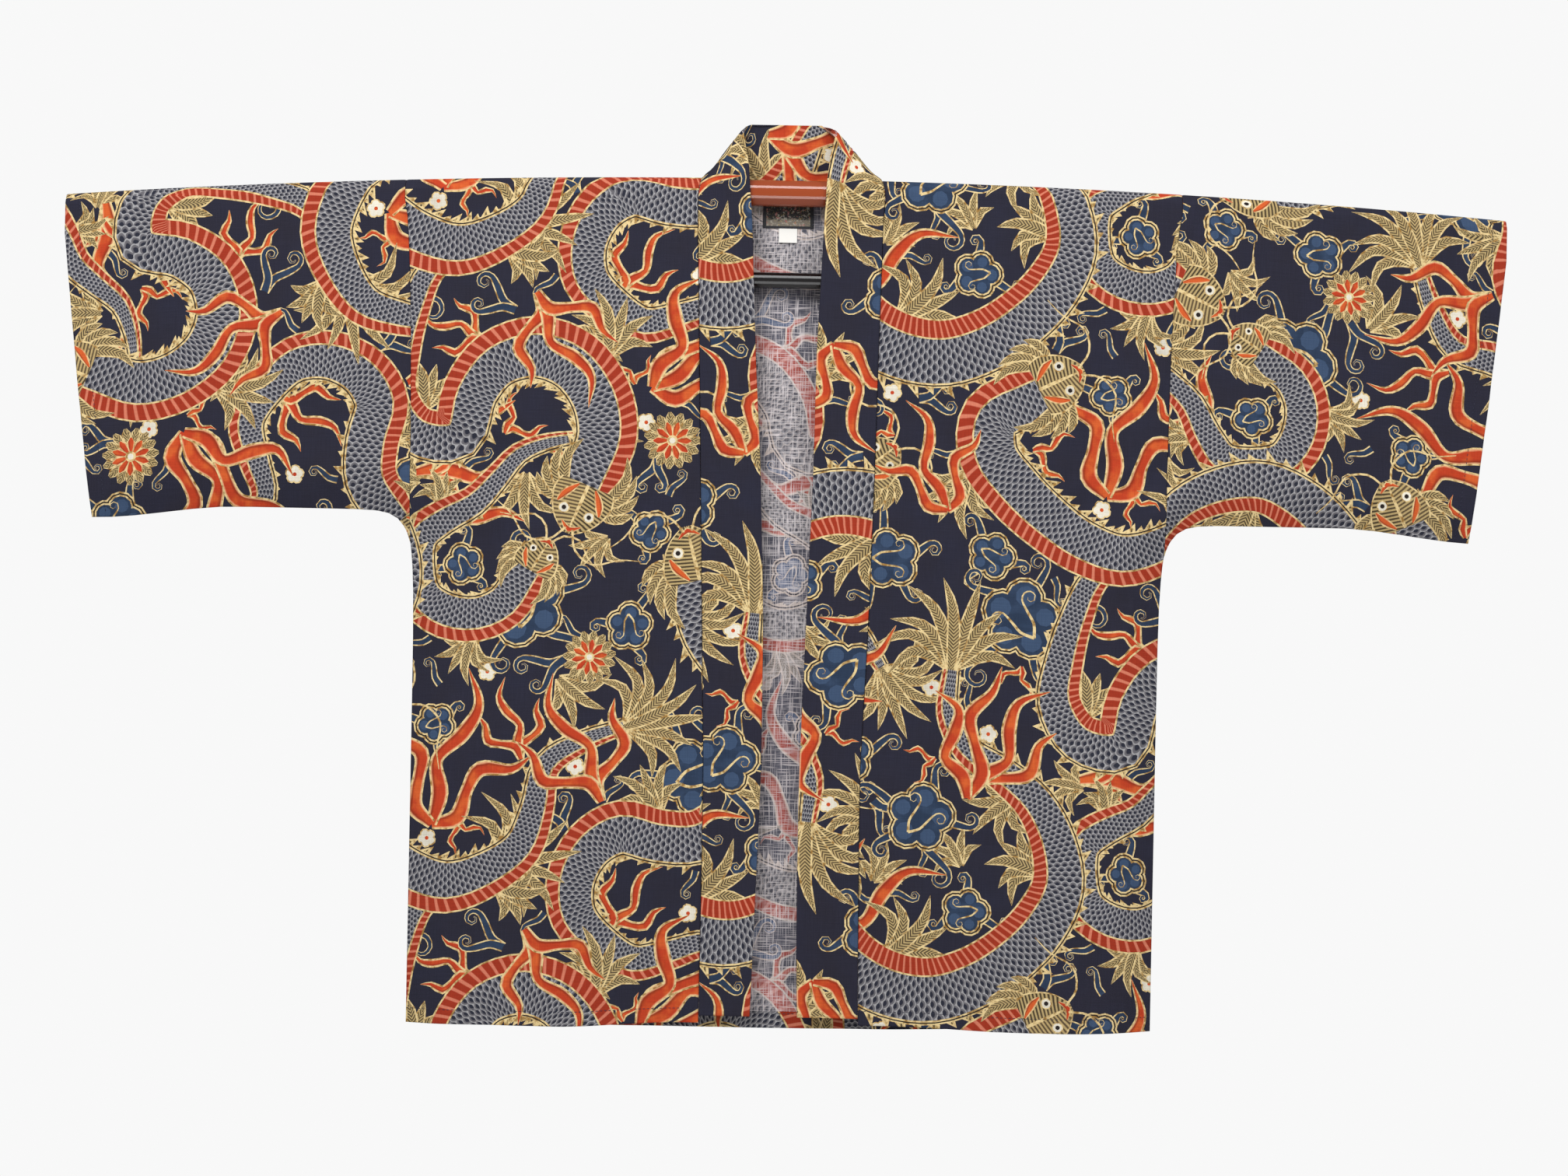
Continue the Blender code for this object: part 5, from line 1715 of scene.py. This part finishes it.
class HAPPI_OT_stage(bpy.types.Operator):
    """Floor, lights, pale world and camera"""
    bl_idname = "happi.stage"
    bl_label = "Build stage"

    def execute(self, context):
        settings = context.scene.happi
        make_cloth_materials(settings)
        make_trim_materials(settings)
        scene = context.scene
        scene.view_settings.view_transform = "Standard"

        bm = bmesh.new()
        bmesh.ops.create_circle(bm, cap_ends=True, segments=96, radius=settings.floor_radius)
        bmesh.ops.translate(bm, verts=bm.verts[:], vec=(0.0, 0.0, FLOOR_Z))
        mesh = mesh_from(bm, "floor")
        mesh.materials.append(bpy.data.materials["studio_floor"])
        linked("floor", mesh)

        world = bpy.data.worlds.new("studio")
        world.use_nodes = True
        tree = world.node_tree
        seen = add_node(tree, "ShaderNodeLightPath").outputs["Is Camera Ray"]
        strength = calc(tree, "MULTIPLY_ADD", seen, WORLD_SEEN - WORLD_LIGHT, WORLD_LIGHT)
        background = tree.nodes["Background"]
        background.inputs["Color"].default_value = (1.0, 1.0, 1.0, 1.0)
        tree.links.new(strength, background.inputs["Strength"])
        scene.world = world

        for name, place, aim, size, power in LIGHTS:
            lamp = bpy.data.lights.new(name, "AREA")
            lamp.shape = "RECTANGLE"
            lamp.size, lamp.size_y = size
            lamp.energy = power
            thing = linked(name, lamp)
            thing.location = place
            thing.rotation_mode = "QUATERNION"
            thing.rotation_quaternion = (Vector(aim) - Vector(place)).to_track_quat("-Z", "Y")

        lens = bpy.data.cameras.new("camera")
        lens.sensor_width = SENSOR_WIDTH
        lens.lens = SENSOR_WIDTH * settings.camera_distance / settings.view_width
        camera = linked("camera", lens)
        camera.location = (VIEW_MIDDLE[0], -settings.camera_distance, VIEW_MIDDLE[1])
        camera.rotation_euler = (math.radians(90.0), settings.view_roll, 0.0)
        scene.camera = camera
        return {"FINISHED"}


class HAPPI_OT_back(bpy.types.Operator):
    """The back panel"""
    bl_idname = "happi.back"
    bl_label = "Build back"

    def execute(self, context):
        # Its inside shows through the opening, so it gets more of the layout for baking
        make_cloth("back", back_cut(), back_place, hang_lines, inner_share=0.34)
        return {"FINISHED"}


HANDS = ((-1, "right"), (1, "left"))  # the wearer's, and the sign of x


class HAPPI_OT_fronts(bpy.types.Operator):
    """The two fronts"""
    bl_idname = "happi.fronts"
    bl_label = "Build fronts"

    def execute(self, context):
        for side, hand in HANDS:
            make_cloth("front_" + hand, front_cut(side), front_place, hang_lines)
        return {"FINISHED"}


class HAPPI_OT_sleeves(bpy.types.Operator):
    """The two sleeves, each one cloth folded over the rod"""
    bl_idname = "happi.sleeves"
    bl_label = "Build sleeves"

    def execute(self, context):
        for side, hand in HANDS:
            make_cloth("sleeve_" + hand, sleeve_cut(side), sleeve_place, sleeve_lines)
        return {"FINISHED"}


class HAPPI_OT_collar(bpy.types.Operator):
    """The collar band, folded along its free edge"""
    bl_idname = "happi.collar"
    bl_label = "Build collar"

    def execute(self, context):
        make_cloth("collar", collar_cut(), collar_place, collar_lines)
        return {"FINISHED"}


# Widths of the borders at the sides and at the ends
LABEL_BORDER, TAG_BORDER = (0.0032, 0.0021), (0.002, 0.002)
TAG_CURL = 0.0006  # by how much the tag's end stands off
SHARP_ANGLE = math.radians(50.0)


def patch_grid(middle, half_width, top, bottom, border, outward, curl, steps):
    """Rows of points of a flat patch on the inside of the back, down from its upper edge. Its
    outer steps are as wide as its border at the sides and at the ends."""
    sides, ends = [
        np.concatenate([[0.0], np.linspace(wide / size, 1.0 - wide / size, steps - 1), [1.0]])
        for wide, size in zip(border, (2.0 * half_width, top - bottom))]
    rows = []
    for share in ends:
        x = middle + half_width * (2.0 * sides - 1.0)
        z = np.full(steps + 1, top + (bottom - top) * share)
        y = panel_depth(BACK, x, z, 1.0) - WALL / 2.0 - SEAM_GAP - outward
        rows.append(np.stack([x, y - curl * share ** 2, z], 1))
    return rows


def make_patch(name, size, border, inside, outside, curl, steps):
    """A woven patch with its border in a material of its own."""
    bm = bmesh.new()
    layers = []
    for outward in (LABEL_WALL, 0.0):
        rows = patch_grid(*size, border, outward, curl, steps)
        layers.append([[bm.verts.new(point) for point in row] for row in rows])
    front, behind = layers
    for i in range(steps):
        for j in range(steps):
            edge = min(i, j) == 0 or max(i, j) == steps - 1
            for grid in (front, behind):
                face = bm.faces.new((grid[i][j], grid[i + 1][j], grid[i + 1][j + 1], grid[i][j + 1]))
                face.material_index = 1 if edge else 0
    for k in range(steps):
        for a, b in (((0, k), (0, k + 1)), ((steps, k), (steps, k + 1)),
                     ((k, 0), (k + 1, 0)), ((k, steps), (k + 1, steps))):
            face = bm.faces.new((front[a[0]][a[1]], front[b[0]][b[1]],
                                 behind[b[0]][b[1]], behind[a[0]][a[1]]))
            face.material_index = 1
    bmesh.ops.recalc_face_normals(bm, faces=bm.faces[:])
    mesh = mesh_from(bm, name)
    mesh.shade_smooth()
    mesh.set_sharp_from_angle(angle=SHARP_ANGLE)
    for finish in (inside, outside):
        mesh.materials.append(bpy.data.materials[finish])
    return linked(name, mesh)


class HAPPI_OT_labels(bpy.types.Operator):
    """Bare neck label and size tag on the inside of the back"""
    bl_idname = "happi.labels"
    bl_label = "Build labels"

    def execute(self, context):
        label = make_patch("label_weave", (LABEL_MIDDLE_X, LABEL_HALF_WIDTH, LABEL_TOP_Z, LABEL_BOTTOM_Z),
                           LABEL_BORDER, "label_brocade", "label_border", 0.0, 24)
        dress(label, "neck_label")
        tag_top = LABEL_BOTTOM_Z - SEAM_GAP
        tag = make_patch("tag_tape", (LABEL_MIDDLE_X, TAG_HALF_WIDTH, tag_top, TAG_BOTTOM_Z),
                         TAG_BORDER, "cotton_tape", "cotton_tape", TAG_CURL, 8)
        dress(tag, "size_tag")
        return {"FINISHED"}


def stitch_tree():
    """Short stitches along every line of the mesh it is given."""
    tree = bpy.data.node_groups.new("Stitches", "GeometryNodeTree")
    sockets = {}
    for name, kind in (("Geometry", "NodeSocketGeometry"), ("Stitch length", "NodeSocketFloat"),
                       ("Stitch gap", "NodeSocketFloat"), ("Thread width", "NodeSocketFloat"),
                       ("Seed", "NodeSocketInt"), ("Thread", "NodeSocketMaterial")):
        sockets[name] = tree.interface.new_socket(name, in_out="INPUT", socket_type=kind).identifier
    tree.interface.new_socket("Geometry", in_out="OUTPUT", socket_type="NodeSocketGeometry")
    given = tree.nodes.new("NodeGroupInput").outputs
    pitch = calc(tree, "ADD", given["Stitch length"], given["Stitch gap"])
    curve = add_node(tree, "GeometryNodeMeshToCurve", ((0, given["Geometry"]),)).outputs[0]
    spaced = add_node(tree, "GeometryNodeResampleCurve", (("Curve", curve), ("Length", pitch)),
                      mode="LENGTH").outputs[0]
    ball = add_node(tree, "GeometryNodeMeshUVSphere",
                    (("Segments", 6), ("Rings", 4), ("Radius", 0.5))).outputs[0]
    tangent = add_node(tree, "GeometryNodeInputTangent").outputs[0]
    turn = add_node(tree, "FunctionNodeAlignRotationToVector", (("Vector", tangent),), axis="X").outputs[0]
    uneven = add_node(tree, "FunctionNodeRandomValue",
                      (("Min", 0.88), ("Max", 1.08), ("Seed", given["Seed"])), data_type="FLOAT")
    share = [s for s in uneven.outputs if s.enabled][0]
    length = calc(tree, "MULTIPLY", given["Stitch length"], share)
    width = given["Thread width"]
    size = add_node(tree, "ShaderNodeCombineXYZ", ((0, length), (1, width), (2, width))).outputs[0]
    placed = add_node(tree, "GeometryNodeInstanceOnPoints", (
        ("Points", spaced), ("Instance", ball), ("Rotation", turn), ("Scale", size))).outputs[0]
    real = add_node(tree, "GeometryNodeRealizeInstances", ((0, placed),)).outputs[0]
    done = add_node(tree, "GeometryNodeSetMaterial",
                    (("Geometry", real), ("Material", given["Thread"]))).outputs[0]
    add_node(tree, "NodeGroupOutput", ((0, done),))
    return tree, sockets


# Millimetres: from the hem's fold to its stitches, between a run's points, and from the label's
# edges to its stitches at the sides and the bottom, and at the top
HEM_STITCH, RUN_STEP, LABEL_STITCH, LABEL_TOP_STITCH = 13.6, 4.0, 0.7, 0.8
STITCH_SEED = 7
STITCH_RAISED = 0.15  # of the thread's width that its middle lies above the cloth


def sewn_lines(name, place, runs, settings, tree, sockets):
    """Stitches along runs of flat points, on the outside of a piece."""
    bm = bmesh.new()
    for run, outward in runs:
        points = place(np.array(run), outward)
        made = [bm.verts.new(point) for point in points]
        for a, b in zip(made, made[1:]):
            bm.edges.new((a, b))
    guide = linked(name, mesh_from(bm, name))
    modifier = guide.modifiers.new("stitches", "NODES")
    modifier.node_group = tree
    for socket, value in (("Stitch length", settings.stitch_length), ("Stitch gap", settings.stitch_gap),
                          ("Thread width", settings.thread_width), ("Seed", STITCH_SEED),
                          ("Thread", bpy.data.materials["sewing_thread"])):
        modifier[sockets[socket]] = value
    shown = guide.evaluated_get(bpy.context.evaluated_depsgraph_get())
    guide.data = bpy.data.meshes.new_from_object(shown)
    guide.modifiers.clear()
    guide.data.shade_smooth()
    return guide


def turned_line(cut, kinds, distance):
    """The hem side of a cut, moved in by millimetres, as one run of flat points."""
    lines = inset_lines(cut, kinds, ("hem",), distance)
    stops = np.array([lines[0][0]] + [(a + b) / 2.0 for a, b in lines] + [lines[-1][1]])
    length = distances(stops)
    places = np.arange(1.0, length[-1] - 1.0, RUN_STEP)
    return np.stack([np.interp(places, length, stops[:, k]) for k in (0, 1)], 1)


class HAPPI_OT_stitches(bpy.types.Operator):
    """Sewing along the hems, the cuffs and the neck label"""
    bl_idname = "happi.stitches"
    bl_label = "Sew stitches"

    def execute(self, context):
        settings = context.scene.happi
        tree, sockets = stitch_tree()
        sewn = [("back", back_cut(), back_place)]
        for side, hand in HANDS:
            sewn.append(("front_" + hand, front_cut(side), front_place))
            sewn.append(("sleeve_" + hand, sleeve_cut(side), sleeve_place))
        raised = settings.thread_width * STITCH_RAISED
        for name, (cut, kinds), place in sewn:
            run = turned_line(cut, kinds, HEM_STITCH)
            runs = ((run, WALL / 2.0 + raised), (run, -WALL / 2.0 - TURN_WALL - raised))
            piece = sewn_lines(name + "_stitches", place, runs, settings, tree, sockets)
            piece.parent = bpy.data.objects[name + "_cloth"]

        x, half = LABEL_MIDDLE_X / MM, LABEL_HALF_WIDTH / MM - LABEL_STITCH
        top, bottom = -LABEL_TOP_Z / MM + LABEL_TOP_STITCH, -LABEL_BOTTOM_Z / MM - LABEL_STITCH
        run = [(x - half, top + (bottom - top) * k / 8.0) for k in range(9)]
        run += [(x - half + 2.0 * half * k / 16.0, bottom) for k in range(1, 17)]
        run += [(x + half, bottom + (top - bottom) * k / 8.0) for k in range(1, 9)]

        def label_place(flat, outward):
            fx, fz = flat[:, 0] * MM, -flat[:, 1] * MM
            depth = panel_depth(BACK, fx, fz, 1.0) - WALL / 2.0 - SEAM_GAP - LABEL_WALL
            return np.stack([fx, depth - outward, fz], 1)

        piece = sewn_lines("label_stitches", label_place, ((run, raised),), settings, tree, sockets)
        piece.parent = bpy.data.objects["label_weave"]
        return {"FINISHED"}


# The hanger's nodes and their finishes
HANGER = {"rod": "glossy_brown_plastic", "lower_bar": "glossy_black_plastic",
          "link_left": "glossy_black_plastic", "link_right": "glossy_black_plastic"}


class HAPPI_OT_hanger(bpy.types.Operator):
    """Finishes of the rod, lower bar and links, which keep their packed form"""
    bl_idname = "happi.hanger"
    bl_label = "Finish hanger"

    def execute(self, context):
        for name, finish in HANGER.items():
            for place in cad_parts[name].material_slots:
                place.material = bpy.data.materials[finish]
        return {"FINISHED"}


class HAPPI_PT_panel(bpy.types.Panel):
    """Builds the coat's looks piece by piece"""
    bl_idname = "HAPPI_PT_panel"
    bl_label = "Happi coat"
    bl_space_type = "VIEW_3D"
    bl_region_type = "UI"
    bl_category = "Happi coat"

    def draw(self, context):
        for operator in OPERATORS:
            self.layout.operator(operator.bl_idname)
        settings = context.scene.happi
        for group in (settings, settings.face, settings.reverse):
            for name in group.bl_rna.properties.keys():
                if name not in ("rna_type", "name", "face", "reverse"):
                    self.layout.prop(group, name)


OPERATORS = (HAPPI_OT_stage, HAPPI_OT_back, HAPPI_OT_fronts, HAPPI_OT_sleeves, HAPPI_OT_collar,
             HAPPI_OT_labels, HAPPI_OT_hanger, HAPPI_OT_stitches)
CLASSES = (FaceInks, ReverseInks, HappiSettings) + OPERATORS + (HAPPI_PT_panel,)


def register():
    for kind in CLASSES:
        bpy.utils.register_class(kind)
    bpy.types.Scene.happi = PointerProperty(type=HappiSettings)


def unregister():
    del bpy.types.Scene.happi
    for kind in reversed(CLASSES):
        bpy.utils.unregister_class(kind)


def main():
    register()
    bpy.ops.happi.stage()
    bpy.ops.happi.back()
    bpy.ops.happi.fronts()
    bpy.ops.happi.sleeves()
    bpy.ops.happi.collar()
    bpy.ops.happi.labels()
    bpy.ops.happi.hanger()
    bpy.ops.happi.stitches()


if __name__ == "__main__":
    main()
